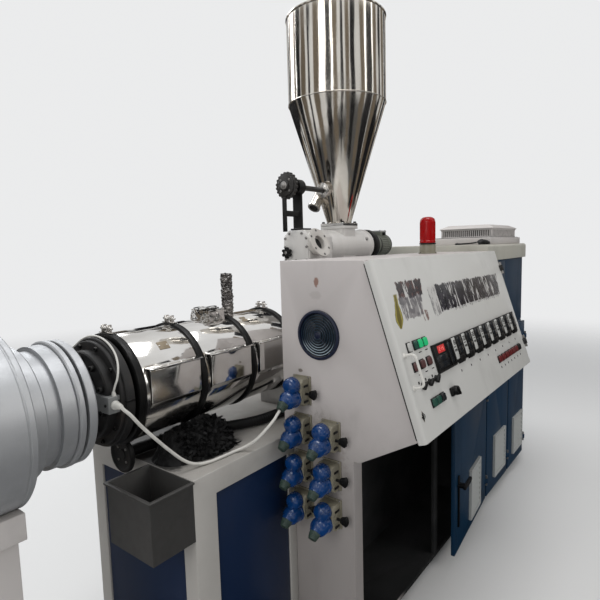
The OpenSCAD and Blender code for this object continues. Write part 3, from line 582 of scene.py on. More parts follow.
# %% [markdown]
# ## Heat shields
# Each shield is a polished sheet rolled round the barrel's heaters, with a flat box on each side for the heater
# terminals. The box's upper edge is folded outwards into a narrow lip, which draws the brightest line on the real one.
# A turned shell and two cut plates make it, with rivets along the seam. Two of the shields carry a small bare plate.

# %% Heat shields
shields = bmesh.new()
box_side = [(60, 78), (176, 78), (181, 73), (181, -26), (120, -94), (60, -94)]
for x in (-542.5, -307.5, -72.5):
    join(shields, washer(166, 172, 0, 208, 160, 0.6), to_drive(x))
    for side in (1, -1):
        join(shields, plate([(side * y, z) for y, z in box_side][::side], 188, 1.6, 3), across(x + 10))
        join(shields, block((x + 6, side * 150, 1158), (x + 202, side * 190.5, 1160.5), 0.7))
        for step in range(4):
            join(shields, lathe([(0, 2.2), (2, 2), (3.5, 0)], 12), at(x + 30 + step * 50, side * 170, 1160.4))
        for z in (1130, 1070):
            for end in (26, 182):
                join(shields, screw(4.5, 3), at(x + end, side * 181, z, -90, "X"))
    join(shields, block((x + 4, -9, 1251.2), (x + 204, 9, 1253), 0.6),
         at(z=barrel_z, turn=8, about="X") @ at(z=-barrel_z))
for x, turn, wide in ((-436, 132, 19), (-34, 116, 14)):
    tag = at(x, 0, barrel_z, turn - 90, "X") @ at(z=171.6)
    join(shields, block((-wide, -15, 0), (wide, 15, 1.6), 0.5), tag, 1)
    for end in (-0.75, 0.75):
        join(shields, lathe([(0, 1.2), (1.8, 1), (2.8, 0)], 12), tag @ at(wide * end, 0, 1.6))
label_tan = moulded("label_tan", shade(138, 124, 102), 0.5, grime=0.8)
finish_mesh(shields, "heat_shields_bright", [shield_steel, label_tan], "heat_shields")

# %% [markdown]
# ## Bands and clamps
# The gaps between the shields are closed with black bands, like thick varnished strap, each pulled tight by a clamp on
# top. The strap is turned with a slightly crowned outline and gets creases in its finish. The clamp has two bent ears,
# a long screw through them, a spring and a nut, all left bright.

# %% Bands
strap = moulded("strap", shade(7, 7, 7), 0.30, grime=0.3, fade=0.04, Specular_IOR_Level=0.25)
crease = strap.noise(9, 5, strap.stretched((6, 1, 1)), 0.6)
strap.set(Normal=strap.bump(crease + strap.noise(60, 3, strap.stretched((3, 1, 1))) * 0.25, 0.004))
bands = bmesh.new()
crowned = [(120, 0), (172, 0), (175.5, 2), (176.8, 8), (177, 13), (176.8, 18), (175.5, 24), (172, 26), (120, 26)]
for x in (-569, -334, -99, 136):
    join(bands, lathe(crowned, 128, closed=True), to_drive(x))
    for y in (-14, 14):
        join_blocks(bands, 1, ((x + 4, y - 1.6, 1244), (x + 22, y + 1.6, 1281.5), 0.8),
                    ((x + 4, min(y, 2.2 * y), 1256), (x + 22, max(y, 2.2 * y), 1258.5), 0.8))
    for y, size in ((32, (3, 64, 20)), (-16.5, (6.2, 6, 6, 0.5)), (22.5, (6.8, 6, 6, 0.5))):
        join(bands, rod(*size), at(x + 13, y, 1270, 90, "X"), 1)
    spring = [Vector((x + 13 + 5.5 * math.cos(t), -11 + 0.5 * t, 1270 + 5.5 * math.sin(t))) / 1000
              for t in (k * 0.5 for k in range(88))]
    join(bands, sweep(spring, 0.9, 6), finish=1)
finish_mesh(bands, "shield_bands_strapped", [strap, bright_steel], "shield_bands")

# %% [markdown]
# ## Vent box and wrapped pipe
# The barrel's vent sits in a box of thin foil that has been squeezed round it by hand, and its pipe is wrapped in
# glass tape. Noise pushes a finely cut box in and out for the foil. The pipe's radius rises and falls as a saw along
# its length, so each turn of tape laps over the one below.

# %% Vent
def wander(place):
    """Smooth noise in three directions, the same on every run."""
    return Vector([noise.noise(place + Vector(shift)) for shift in ((9, -2, -8), (0, 0, 0), (-6, 4, 7))])


def crumple(bm, *ways):
    """Moves every vertex by smooth noise: how far, how fine, and from which part of the noise."""
    for amount, scale, seed in ways:
        for vert in bm.verts:
            vert.co += wander(vert.co * scale + Vector((seed, 0, 0))) * (amount / 1000)
    return bm


def torn_sheet(cells, size, thick, *ways):
    """A small crumpled sheet."""
    sheet = bmesh.new()
    bmesh.ops.create_grid(sheet, x_segments=cells[0], y_segments=cells[1], size=0.5)
    bmesh.ops.scale(sheet, vec=(size[0] / 1000, size[1] / 1000, 1), verts=sheet.verts)
    crumple(sheet, *ways)
    bmesh.ops.solidify(sheet, geom=sheet.faces[:], thickness=thick / 1000)
    return sheet


vent = block((-184, -49, 1240), (-110, 49, 1284), 0)
bmesh.ops.subdivide_edges(vent, edges=vent.edges, cuts=15, use_grid_fill=True)
crumple(vent, (9, 22, 3), (3, 70, 5))
for turn, z in ((20, 1284), (-35, 1288)):
    join(vent, torn_sheet((14, 10), (85, 50), 0.8, (10, 30, turn)), at(-147, 4, z, turn))
pipe_line = [Vector((-44, 0, 1240 + 168 * k / 136)) / 1000 for k in range(137)]
lap = [20.5 + 3 * ((k % 11) / 11) + 0.8 * math.sin(k * 1.7) for k in range(137)]
join(vent, crumple(sweep(pipe_line, lap, 48), (3.5, 60, 8), (1.6, 190, 4)), finish=1)
for turn in (15, 130, 250):
    join(vent, torn_sheet((10, 8), (30, 22), 0.6, (10, 60, turn), (4, 160, turn)),
         at(-44, 0, 1392, turn) @ at(17, 0, 0, 68, "Y"), 1)
finish_mesh(vent, "barrel_vent_foil", [foil_steel, wrap_foil], "barrel_vent")

# %% [markdown]
# ## Adapter
# Between the barrel and the die sit three dark flanges and a bright neck, clamped by socket screws. The flanges were
# blued by heat. A split line runs across the widest one, because it is made of two halves. The grey connector at the
# neck's side takes the heater cable through a tapered rubber gland.

# %% Adapter
adapter = bmesh.new()
for x, low, high, depth, soft in ((-606, 165, 168, 25.7, 2.5), (-618, 157.2, 160, 12, 2.5), (-646, 130, 134, 28, 4)):
    join(adapter, lathe([(40, 0), (low, 0), (high, soft), (high, depth), (40, depth)], 128, closed=True), to_drive(x))
for near, far in zip(ring(10, 112, 18), ring(10, 147, 18 + math.degrees(0.3))):
    join(adapter, screw(9.5, 10), to_die(-646, near[0], barrel_z + near[1]), 1)
    join(adapter, screw(6.5, 7), to_die(-618, far[0], barrel_z + far[1]), 1)
for side in (-1, 1):
    join_blocks(adapter, 3, ((-609, side * 134, 1077), (-581, side * 168.8, 1083), 0.6))
neck = [(40, 0), (62, 0), (62, 22), (66, 26), (80, 26), (84, 30), (84, 50), (80, 54), (66, 58), (66, 60), (40, 60)]
join(adapter, lathe(neck, 96, 0.6), to_drive(-700), 2)
for side in (-1, 1):
    join(adapter, bolt(12, 14), at(-672, side * 50, 1142, -side * 30, "X"), 1)
for side in (-1, 1):
    join_blocks(adapter, 4, ((-654, side * 110 - 40, 1051), (-614, side * 110 + 40, 1100), 3, 3),
                ((-654.5, side * 109 - 7, 1050), (-613.5, side * 109 + 7, 1100.5), 2, 2))
    join(adapter, lathe([(0, 0), (6.5, 0), (6.2, 5), (4, 13), (0, 13)], 24), at(-632, side * 144, 1099.5), 5)
    for y in (86, 136):
        join(adapter, screw(4.2, 3), to_die(-654, side * y, 1075), 1)
join(adapter, lathe([(0, 0), (13, 0), (13, 6), (10, 9), (9.5, 20), (6.2, 34), (0, 34)], 32, 0.6),
     at(-634, -149, 1075, 90, "X"), 5)
connector_grey = moulded("connector_grey", shade(124, 125, 124), 0.3, grime=0.7)
finish_mesh(adapter, "adapter_turned",
            [burnt_steel, black_enamel, die_steel, strap, connector_grey, white_rubber], "adapter")

# %% [markdown]
# ## Die head
# The die head is turned from solid steel: a large drum, then rings that step down to a pair of flanges. Only the joint
# between the flanges is dark, because the clamp gap is open there. One outline for each, spun round the barrel's axis,
# gives every step its chamfer. Screws stand round both faces.

# %% Rings and drum
head = bmesh.new()
drum = [(0, 0), (229, 0), (235, 6), (235, 20), (233.5, 21.5), (233.5, 23.5), (235, 25),
        (235, 128), (233, 130), (233, 133), (235, 135), (235, 147), (232, 150), (186, 150),
        (180, 156), (180, 196), (176, 200), (160, 200), (160, 240), (172, 240),
        (172, 278.5), (170.5, 279.8), (0, 279.8)]
join(head, lathe(drum, 192), to_drive(-1030))
for k in range(12):
    turn = math.radians(15 + 30 * k)
    place = at(-1030, 205 * math.cos(turn), 1080 + 205 * math.sin(turn))
    join(head, screw(11, 8), place @ at(turn=-90, about="Y"), 1)
join(head, lathe([(0, 0), (58, 0), (62, 4), (62, 6), (0, 6)], 96), at(-1030, 0, 1080, -90, "Y"))
finish_mesh(head, "die_rings_turned", [die_steel, black_enamel], "die_rings", 20)

# %% Flanges
flanges = bmesh.new()
for outline, x in (([(0, 0), (177.5, 0), (181, 3.5), (181, 14.5), (179.5, 16), (0, 16)], -750),
                   ([(0, 0), (177.5, 0), (179, 1.5), (179, 20), (175.5, 24), (0, 24)], -724)):
    join(flanges, lathe(outline, 192), to_drive(x))
join(flanges, lathe([(100, 0), (162, 0), (162, 10.5), (100, 10.5)], 128, closed=True), to_drive(-734.2), 1)
for k in range(8):
    turn = math.radians(22.5 + 45 * k)
    place = at(-700, 142 * math.cos(turn), 1080 + 142 * math.sin(turn))
    join(flanges, screw(11, 12), place @ at(turn=90, about="Y"), 1)
finish_mesh(flanges, "die_flanges_turned", [die_steel, black_enamel], "die_flanges", 20)

# %% [markdown]
# ## Sockets and plugs
# Seven heater circuits leave through sockets in the cabinet's end panel. Each has a beige housing with a ribbed face, a
# black lever that holds the plug in, a bright blue two-lobed plug and a rubber gland. One set is built and then copied
# to the seven places, because like parts come from one mould.

# %% Where the sockets are
socket_places = [(-326 - 122 * column, 566 + 141 * (row - 1.02 * column))
                 for column in (0, 1) for row in range(4) if column == 0 or row > 0]
print(len(socket_places), "sockets", [tuple(round(v, 3) for v in place) for place in socket_places])


def at_each_socket(name, shape, finishes, replaced):
    """Copies one shape to all seven sockets as one piece."""
    row = bmesh.new()
    single = bpy.data.meshes.new("single")
    shape.to_mesh(single)
    shape.free()
    for y, z in socket_places:
        before = len(row.verts)
        row.from_mesh(single)
        row.verts.ensure_lookup_table()
        bmesh.ops.translate(row, vec=(0, y / 1000, z / 1000), verts=row.verts[before:])
    bpy.data.meshes.remove(single)
    return finish_mesh(row, name, finishes, replaced)


# %% Housings
housing = bmesh.new()
profile = [(0, -46), (0, 50), (-40, 50), (-52, 40), (-52, -34), (-34, -46)]
join(housing, plate([(x, z) for x, z in profile], 68, 3, 3), at(0, 34, 0, 90, "X"))
join(housing, block((-6, -39, -51), (0, 39, 55), 2))
for z in (-20, 0, 20):
    join(housing, block((-46, -35.5, z - 2), (-8, 35.5, z + 2), 1))
for y in (-31, 31):
    for z in (-47, 51):
        join(housing, screw(3.5, 3), at(-6, y, z, -90, "Y"), 1)
join(housing, lathe([(30, 0), (36.5, 0), (36.5, 4), (30, 4)], 48, 0.8, closed=True),
     at(-50.5, 0, -3, -90, "Y"))
at_each_socket("socket_bodies_moulded", housing, [beige_plastic, tool_steel], "socket_bodies")

# %% Levers
lever = bmesh.new()
join(lever, rod(5, 20, 24, 1), at(-28, -34, -2, 90, "X"))
paddle = [(0, -8), (-24, -18), (-30, -12), (-34, 2), (-32, 14), (-28, 20), (-4, 12)]
join(lever, plate(paddle, 12, 3, 3), at(-34, -48, -2, 90, "Z") @ at(turn=90, about="X"))
for k in range(3):
    join(lever, block((-35.5, -74 + 7 * k, -12), (-20.5, -71.5 + 7 * k, 10), 0.8))
for z in (-30, 26):
    join(lever, block((-40, -37.5, z - 4), (-16, -34.5, z + 4), 1))
at_each_socket("socket_levers_moulded", lever, black_plastic, "socket_levers")

# %% Plugs
plug = bmesh.new()
front = at(-52, 0, 0, -90, "Y")
cap = lathe([(0, 0), (29.5, 0), (30, 1), (30, 19), (29, 25), (26, 31), (21, 35.5),
             (15, 38), (7, 39.7), (0, 40)], 56)
join(plug, cap, front @ at(30, 0, 0))
for k in range(24):
    tooth = block((29, -1.6, 2), (31.2, 1.6, 15), 0.6, 1)
    join(plug, tooth, front @ at(30, 0, 0) @ at(turn=15 * k))
body = lathe([(0, 0), (33.8, 0), (34, 1), (34, 9), (32.5, 10.5), (32.5, 13), (32, 40),
              (30, 46), (26, 52), (19, 58), (12, 60.5), (5, 62), (0, 62)], 56)
join(plug, body, front @ at(-16, 0, 0))
for k in range(10):
    grip = block((-1.2, 31.5, 14), (1.2, 33.5, 36), 0.6)
    join(plug, grip, front @ at(-16, 0, 0) @ at(turn=-72 + 16 * k))
join(plug, block((4, -12, 30), (22, 12, 40), 3, 3), front)
tilt = front @ at(-16, 0, 48) @ Matrix.Rotation(-math.atan2(3, 4), 4, "Y")
join(plug, lathe([(0, -14), (21.5, -14), (22, -13.5), (22, 10), (20.5, 13), (0, 13)], 48), tilt)
join(plug, rod(21.2, 9, 6, 1.4), tilt @ at(0, 0, 12), 1)
for k in range(4):
    ring = lathe([(0, 0), (18.8 - 1.2 * k, 0), (18.8 - 1.2 * k, 2.6), (17.2 - 1.2 * k, 4.2), (0, 4.2)],
                 40, 0.4)
    join(plug, ring, tilt @ at(0, 0, 20 + 4.5 * k), 1)
at_each_socket("plugs_moulded", plug, [blue_plastic, gland_rubber], "plugs")

# %% [markdown]
# ## Places on the console's face
# Everything on the console is fixed to a sloping lid, so it is easiest to speak of a point on the lid by its distance
# along the console, its distance down from the top edge, and its height above the face. One matrix turns these into
# the machine's own axes.

# %% On the lid
lean_angle, face_y, face_z, lid_top = 18.1596, -588, 1449, 34.05
lean = math.radians(lean_angle)


def on_face(x, down_by, out=0.0):
    """A place on the console: x along it, down_by from its top edge, out above its face, all in millimetres."""
    y, z = face_y - down_by * math.sin(lean), face_z - down_by * math.cos(lean)
    return at(x, y, z, 90 - lean_angle, "X") @ at(z=out)


print("lid outward", [round(v, 3) for v in on_face(0, 0).to_3x3() @ Vector((0, 0, 1))])

# %% [markdown]
# ## Console lid
# The lid is a folded sheet-steel box, thick and soft at its edges. Above the controls are two areas where printed
# film has been torn away: what is left is dark film with pale tears that run down the face. The whole of it is paint
# and film on one flat face, so it is drawn in the finish, from two distances across the face. Nothing is lettered.

# %% Lid finish
lid_finish = sprayed("lid_paint", shade(203, 202, 198), gloss=0.36, grime=0.35, rounding=0.002, shine=0.4)
clean, clean_rough = lid_finish.now("Base Color"), lid_finish.now("Roughness")
across = lid_finish.axis("X") * 1000
slope = lid_finish.add("ShaderNodeVectorMath", {"operation": "DOT_PRODUCT", "out": 1}, lid_finish.place,
                       (0, -math.sin(lean), -math.cos(lean)))
down_face = slope * 1000 + (face_y * math.sin(lean) + face_z * math.cos(lean))
on_top = (lid_finish.axis("Y", lid_finish.normal()) * -1).step(0.85, 0.93)
ragged_x = (lid_finish.noise(55, 5, roughness=0.65) - 0.5) * 26
ragged_s = (lid_finish.noise(48, 5, lid_finish.stretched((1, 0.7, 0.7)), 0.65) - 0.5) * 34


def area(left, right_end, top, bottom, lean_right=0.0, soft=3):
    """1 inside a ragged area of the face. Its right edge may lean."""
    edge = across + ragged_x + (down_face - top) * lean_right
    return ((across + ragged_x).step(left, left + soft) * edge.step(right_end, right_end - soft)
            * (down_face + ragged_s).step(top, top + soft) * (down_face + ragged_s).step(bottom, bottom - soft))


def strips(scale, high, low):
    """1 where film is left between tears that run down the face."""
    torn = lid_finish.noise(scale, 5, lid_finish.stretched((1, 0.22, 0.22)), 0.62)
    flecks = lid_finish.noise(130, 3, lid_finish.stretched((1, 0.4, 0.4)))
    return (torn + flecks * 0.25).step(high, low)


brown_top = area(92, 292, 84, 146, 0.3) * strips(30, 0.765, 0.720)
purple_low = area(84, 262, 138, 216, 0.3) * strips(36, 0.765, 0.710)
brown_patch = area(226, 272, 196, 236) * strips(44, 0.66, 0.60)
right_film = area(392, 1160, 117, 222, 0.35) * strips(40, 0.715, 0.675)
pale_columns = area(322, 396, 126, 232) * strips(60, 0.60, 0.57)
small_row = area(508, 1102, 222, 231) * strips(110, 0.64, 0.60)
glue = area(86, 288, 84, 218, 0.35, 8).most(area(320, 1166, 116, 226, 0.35, 8)) * 0.35
colour = lid_finish.mix(glue * on_top, clean, (0.40, 0.38, 0.37))
patchy = lid_finish.noise(40, 4).step(0.45, 0.6)
colour = lid_finish.mix(brown_top * on_top, colour, lid_finish.mix(patchy, (0.016, 0.010, 0.013),
                                                                   (0.070, 0.028, 0.024)))
colour = lid_finish.mix(purple_low * on_top * 0.8, colour,
                        lid_finish.mix(patchy, (0.040, 0.033, 0.045), (0.17, 0.155, 0.16)))
colour = lid_finish.mix(brown_patch * on_top * 0.85, colour, (0.13, 0.050, 0.035))
ink = lid_finish.mix(lid_finish.noise(34, 4).step(0.42, 0.64), (0.006, 0.006, 0.010), (0.032, 0.028, 0.038))
colour = lid_finish.mix(right_film * on_top, colour, ink)
colour = lid_finish.mix(pale_columns.most(small_row) * on_top * 0.7, colour, (0.10, 0.095, 0.10))
tag_bend = across + (down_face - 127) * 0.22 + ragged_x * 0.35
tag_wide = down_face.step(145, 205, 12, 26) * down_face.step(240, 206, 0.25, 1)
off_tag = abs(tag_bend - 70) / tag_wide
tag = off_tag.step(1.05, 0.95) * down_face.step(122, 128) * down_face.step(240, 234)
yellow = lid_finish.mix(off_tag.step(0.35, 0.75), (0.12, 0.095, 0.010), (0.36, 0.31, 0.06))
yellow = lid_finish.mix(off_tag.step(0.80, 0.92), yellow, (0.10, 0.085, 0.03))
colour = lid_finish.mix(tag * on_top, colour, yellow)
film = brown_top.most(right_film).most(tag)
lid_finish.set(Base_Color=colour, Roughness=clean_rough - film * on_top * 0.14)

# %% Lid
lid = bmesh.new()
sheet = block((-14, -593, 6), (1260, -2, 34), 0)
left_edges = [e for e in sheet.edges if all(v.co.x < -0.013 for v in e.verts) and all(v.co.z > 0.03 for v in e.verts)]
bevel(sheet, left_edges, 12, 6)
round_edges(sheet, 2.5, 3, 40)
join(lid, sheet, on_face(0, 0))
for down_by in (110, 497):
    hub = lathe([(4.05, 0), (8.5, 0), (8.5, 28), (4.05, 28)], 32, 0.5, closed=True)
    seat = on_face(1265, down_by, 39) @ at(turn=-90, about="X")
    join(lid, hub, seat, 1)
    join(lid, block((-20, 0, 0), (-6, 5, 28), 0.6), seat, 1)
# Painted shade: black strips under two of the lid's edges stand in for the shaded gap between the lid and the cabinet.
join(lid, block((-10, -578, 0.4), (13, -6, 5.7), 0.8), on_face(0, 0), 1)
join(lid, block((20, -590, 0.4), (1246, -579, 5.7), 0.8), on_face(0, 0), 1)
gap_shade_black = moulded("gap_shade_black", shade(16, 16, 16), 0.6, rounding=0)
finish_mesh(lid, "console_lid_folded", [lid_finish, gap_shade_black], "console_lid", 28, body="console_lid")

# %% [markdown]
# ## Bow handle
# A round bar, bent twice and welded to two small discs. A ring swept along a smooth line gives the bends.

# %% Handle
bow = bmesh.new()
bend = [(0, -52, 0), (0, -52, 10), (0, -52, 22), (0, -50, 29), (0, -46, 34), (0, -40, 36), (0, -30, 36), (0, 0, 36),
        (0, 30, 36), (0, 40, 36), (0, 46, 34), (0, 50, 29), (0, 52, 22), (0, 52, 10), (0, 52, 0)]
join(bow, sweep(smooth_route(bend, 4), 4.2, 20), on_face(14, 372, lid_top))
for s in (-52, 52):
    join(bow, lathe([(0, 0), (9, 0), (9, 2), (6.5, 4), (0, 4)], 32), on_face(14, 372, lid_top)
         @ at(0, s, 0))
white_metal = sprayed("handle_enamel", shade(216, 214, 208), gloss=0.22, grime=0.2, coat=0.5)
finish_mesh(bow, "lid_handle_bent", white_metal, "lid_handle", body="console_lid")

# %% [markdown]
# ## Meter and controllers
# Eight temperature controllers stand in a row beside a larger meter. Each is a pale face with a row of dark figures, a
# black case beside it and a black rocker switch below. The meter's figures glow red in their window. Numbers are all
# these instruments show, so plain seven-bar digits are built for them from small blocks.

# %% Digits
bars = {"a": (0, 1, 0), "g": (0, 0, 0), "d": (0, -1, 0), "f": (-1, 0.5, 1), "b": (1, 0.5, 1), "e": (-1, -0.5, 1),
        "c": (1, -0.5, 1)}
figures = {"0": "abcdef", "1": "bc", "2": "abged", "5": "afgcd", "6": "afgedc", "7": "abc", "8": "abcdefg",
           "9": "abcdfg"}


def digit(bm, figure, place, height, finish, thick=0.07):
    """A seven-bar figure on a display."""
    for bar in figures[figure]:
        x, y, upright = bars[bar]
        wide, tall = (thick, 0.40) if upright else (0.38, thick)
        low = Vector((x * 0.24 - wide / 2, y * 0.45 - tall / 2, 0)) * height
        high = Vector((x * 0.24 + wide / 2, y * 0.45 + tall / 2, 0)) * height
        join(bm, block(low, high + Vector((0, 0, 0.4)), 0), place, finish)


red_glow = Finish("red_glow", Base_Color=(0.40, 0.05, 0.05), Emission_Color=(1.0, 0.26, 0.22), Emission_Strength=0.75)
green_glow = Finish("green_glow", Base_Color=(0.006, 0.20, 0.06), Emission_Color=(0.02, 0.62, 0.24),
                    Emission_Strength=0.42,
                    Roughness=0.25)
display_grey = moulded("display_grey", shade(186, 186, 182), 0.34, grime=0.35, rounding=0)
display_dark = moulded("display_dark", shade(22, 26, 30), 0.10, grime=0.2, rounding=0)
red_plastic = moulded("red_plastic", shade(96, 22, 24), 0.28, grime=0.4)
red_window = Finish("red_window", Base_Color=(0.30, 0.022, 0.022), Emission_Color=(0.75, 0.05, 0.05),
                    Emission_Strength=0.35,
                    Roughness=0.2)
teal_glass = moulded("teal_glass", shade(28, 74, 62), 0.10, grime=0.3, fade=0.3)
brown_plastic = moulded("brown_plastic", shade(84, 50, 50), 0.28, grime=0.5)

# %% Instruments
pitch = 104
dials = bmesh.new()


def slab(bm, x, down_by, wide, tall, low, high, finish=0, edge=0.9):
    """A block on the console's face: its upper left corner, its size and its two heights, in millimetres."""
    shape = block((0, -tall, low), (wide, 0, high), edge)
    join(bm, shape, on_face(x, down_by, lid_top), finish)


slab(dials, 206, 322, 160, 99, 0, 6.5)
for x, down_by, wide, tall in ((206, 322, 160, 6), (206, 415, 160, 6), (206, 328, 6, 87), (360, 328, 6, 87),
                               (322, 328, 5, 87)):
    slab(dials, x, down_by, wide, tall, 6, 10)
slab(dials, 242, 331, 60, 26, 6.4, 7.6, 4, 0.6)
for k, figure in enumerate("215"):
    digit(dials, figure, on_face(258 + 14 * k, 344, 41.7), 12.5, 5, 0.13)
slab(dials, 218, 364, 98, 44, 6.4, 7.2, 2, 0.6)
slab(dials, 222, 384, 92, 2, 7.0, 8.0)
slab(dials, 330, 332, 26, 76, 6.4, 7.2, 2, 0.6)
for i in range(8):
    x = 372 + pitch * i
    slab(dials, x - 2, 322, 100, 74, 0, 6.5)
    slab(dials, x, 324, 96, 93, 0, 7.6)
    slab(dials, x + 3, 325, 31, 80, 7, 9.2, 3, 1.2)
    slab(dials, x + 41, 322, 55, 72, 6, 9.8)
    slab(dials, x + 46, 328, 45, 34, 9.6, 10.0, 2, 0.4)
    slab(dials, x + 46, 366, 45, 24, 9.6, 10.0, 2, 0.4)
    for k, figure in enumerate(("195", "200", "205", "208", "210", "206", "202", "198")[i]):
        digit(dials, figure, on_face(x + 10 + 8.5 * k, 343, 43.2), 16, 0, 0.18)
    slab(dials, x + 7, 358, 20, 2.5, 9.0, 9.6)
    for k in range(2):
        slab(dials, x + 8 + 12 * k, 368, 8, 8, 9.0, 10.2, 0, 0.6)
    slab(dials, x + 30, 447, 7, 8, 0, 0.5, 2, 0.1)
    slab(dials, x + 26, 393, 54, 31, 0, 8.0, 0, 1.6)
    rocker = block((-22, -12, 0), (22, 12, 6), 1.5)
    join(dials, rocker, on_face(x + 53, 408.5, 41.4) @ at(turn=9, about="X"))
finish_mesh(dials, "controllers_built",
            [black_plastic, display_grey, display_dark, display_grey, red_window, red_glow], "controllers",
            body="console_lid")

# %% [markdown]
# ## Buttons, lamps and knobs
# The controls are square caps in dark bezels, some lit from inside. A lamp glows green, the buttons are brownish red,
# the selectors are black bars on round feet, and the lock is a slotted barrel in a diamond plate. Soft corners on each
# cap keep them from looking like plain blocks.

# %% Controls
knobs = bmesh.new()


def cap(x, down_by, wide, tall, out, finish, bezel=5):
    """A square cap with soft corners, in a bezel, centred at a place on the face."""
    slab(knobs, x - wide / 2 - 2.5, down_by - tall / 2 - 2.5, wide + 5, tall + 5, 0, 3.6, bezel, 1.6)
    shape = cushion((-wide / 2, -tall / 2, 0), (wide / 2, tall / 2, out), min(wide, tall) * 0.28, 4)
    round_edges(shape, 1.6, 3, 50)
    join(knobs, shape, on_face(x, down_by, lid_top), finish)


cap(56, 300, 25, 28, 8.5, 1)
for x, finish in ((101, 3), (133, 2), (172, 2)):
    cap(x, 300, 26, 28, 9.5, finish)
slab(knobs, 151.5, 287, 3, 26, 3, 7.5, 5, 0.8)
for x in (59, 110, 163):
    cap(x, 365, 27, 27, 9, 4)
for x, turn in ((75, 58), (127, 62), (179, 55)):
    foot = on_face(x, 430, lid_top)
    join(knobs, lathe([(0, 0), (12.5, 0), (12, 3), (10.5, 4.5), (10, 8), (0, 8)], 40), foot, 5)
    grip = plate([(-5.5, -16), (5.5, -16), (6, 9), (2.5, 17), (-2.5, 17), (-6, 9)],
                 9, 1.4, 3)
    join(knobs, grip, foot @ at(0, 0, 5) @ at(turn=-turn), 5)
    slab(knobs, x - 26, 411, 7, 9, 0, 1.6, 5, 0.5)
for x, finish in ((111, 3), (144, 3), (182, 7)):
    cap(x, 494, 28, 26, 10, finish)
slab(knobs, 252, 482, 44, 30, 0, 10, 5, 2.5)
turner = lathe([(0, 0), (16.5, 0), (16.5, 10), (15, 12.5), (0, 12.8)], 40)
join(knobs, turner, on_face(277, 497, 44.05), 5)
join(knobs, block((-4.5, -16.5, 0), (4.5, 16.5, 5), 1.6), on_face(277, 497, 55.5) @ at(turn=24), 5)
for k in range(7):
    cap(833 + 51.5 * k if k < 6 else 1144, 493, 34, 27, 9.5, 6 if k < 6 else 5)
    slab(knobs, 829 + 51.5 * k, 524, 7, 9, 0, 0.4, 7, 0.1)
lock = on_face(15, 512, lid_top)
join(knobs, plate([(0, -19), (11, 0), (0, 19), (-11, 0)], 1.6, 0.5), lock, 0)
join(knobs, lathe([(0, 0), (8.5, 0), (8.5, 4), (7.2, 5.2), (0, 5.2)], 40), lock, 5)
join(knobs, block((-1.1, -6.2, 4.5), (1.1, 6.2, 5.6), 0.2), lock, 1)
for k in range(3):
    slab(knobs, 64 + 50 * k, 326, 20, 3, 0, 0.4, 7, 0.1)
    slab(knobs, 68 + 52 * k, 392, 18, 3, 0, 0.4, 7, 0.1)
finish_mesh(knobs, "console_controls_capped",
            [bright_steel, display_grey, green_glow, teal_glass, brown_plastic, black_plastic, red_plastic,
             display_dark],
            "console_controls", body="console_lid")

# %% [markdown]
# ## Feeder
# The feeder is a rough casting under thick silver-white paint, so its edges are round and its surface is not quite
# even. It has an eight-sided end box, a smooth round body with a domed end, a square pad for the hopper and a throat
# down to the barrel. The casting's unevenness goes into the bump, and its bolts are separate turned heads.

# %% Feeder casting
feeder = bmesh.new()
body = [(0, 0), (78, 0), (78, 368), (79.5, 372), (85, 374), (85, 384), (80.5, 387), (76, 389),
        (73, 395), (68, 402), (61, 409), (54, 414), (48, 418), (44, 421), (0, 421)]
join(feeder, lathe(body, 128, 0.8), to_drive(579, 0, 1505))
octagon = [(-75, -75), (75, -75), (75, 45), (45, 75), (-45, 75), (-75, 45)]
box_turn = at(400, 0, 1505, 90, "Z") @ at(turn=90, about="X")
join(feeder, plate(octagon, 180, 5, 4), box_turn)
join(feeder, plate([(x * 0.93, y * 0.93) for x, y in octagon], 6, 1.5), box_turn @ at(z=-4))
for x, y in ((-60, -60), (0, -62), (60, -60), (62, 0), (60, 38), (36, 60), (-36, 60),
             (-60, 38), (-62, 0)):
    join(feeder, bolt(5.2, 6), at(396.2, x, 1505 + y, -90, "Y"), 1)
for k in range(8):
    turn = math.radians(22 + 45 * k)
    join(feeder, bolt(4.2, 5), at(963, 81.5 * math.cos(turn), 1505 + 81.5 * math.sin(turn), 90, "Y"), 1)
join(feeder, cushion((693, -64, 1505), (821, 64, 1592), 22, 6))
join(feeder, block((689, -68, 1588.5), (825, 68, 1603), 2.2, 3))
join(feeder, block((697, -60, 1120), (817, 60, 1505), 4, 3))
join(feeder, block((692, -65, 1164), (822, 65, 1180), 2))
join(feeder, lathe([(0, 0), (9, 0), (9, 5), (6, 9), (0, 9)], 24),
     at(905, 0, 1505) @ at(turn=66, about="X") @ at(z=77), 1)
finish_mesh(feeder, "feeder_housing_cast", [cast_silver, tool_steel], "feeder_housing", 35)

# %% Star knob and inspection flange
knob = bmesh.new()
knob_place = at(400, 40, 1478, -90, "Y")
join(knob, rod(9, 16, 32), knob_place)
join(knob, lathe([(0, 12), (16.5, 12), (17, 13.5), (17, 28.5), (15.5, 30), (0, 30)], 48), knob_place)
for k in range(6):
    lobe = lathe([(0, 12), (6, 12), (7.5, 14.5), (7.5, 27), (6, 29.5), (0, 29.5)], 28)
    join(knob, lobe, knob_place @ at(turn=60 * k) @ at(19))
join(knob, lathe([(0, 29.8), (7, 29.8), (6.2, 31.2), (0, 31.6)], 28), knob_place, 1)
finish_mesh(knob, "feeder_knob_star", [black_plastic, tool_steel], "feeder_knob")

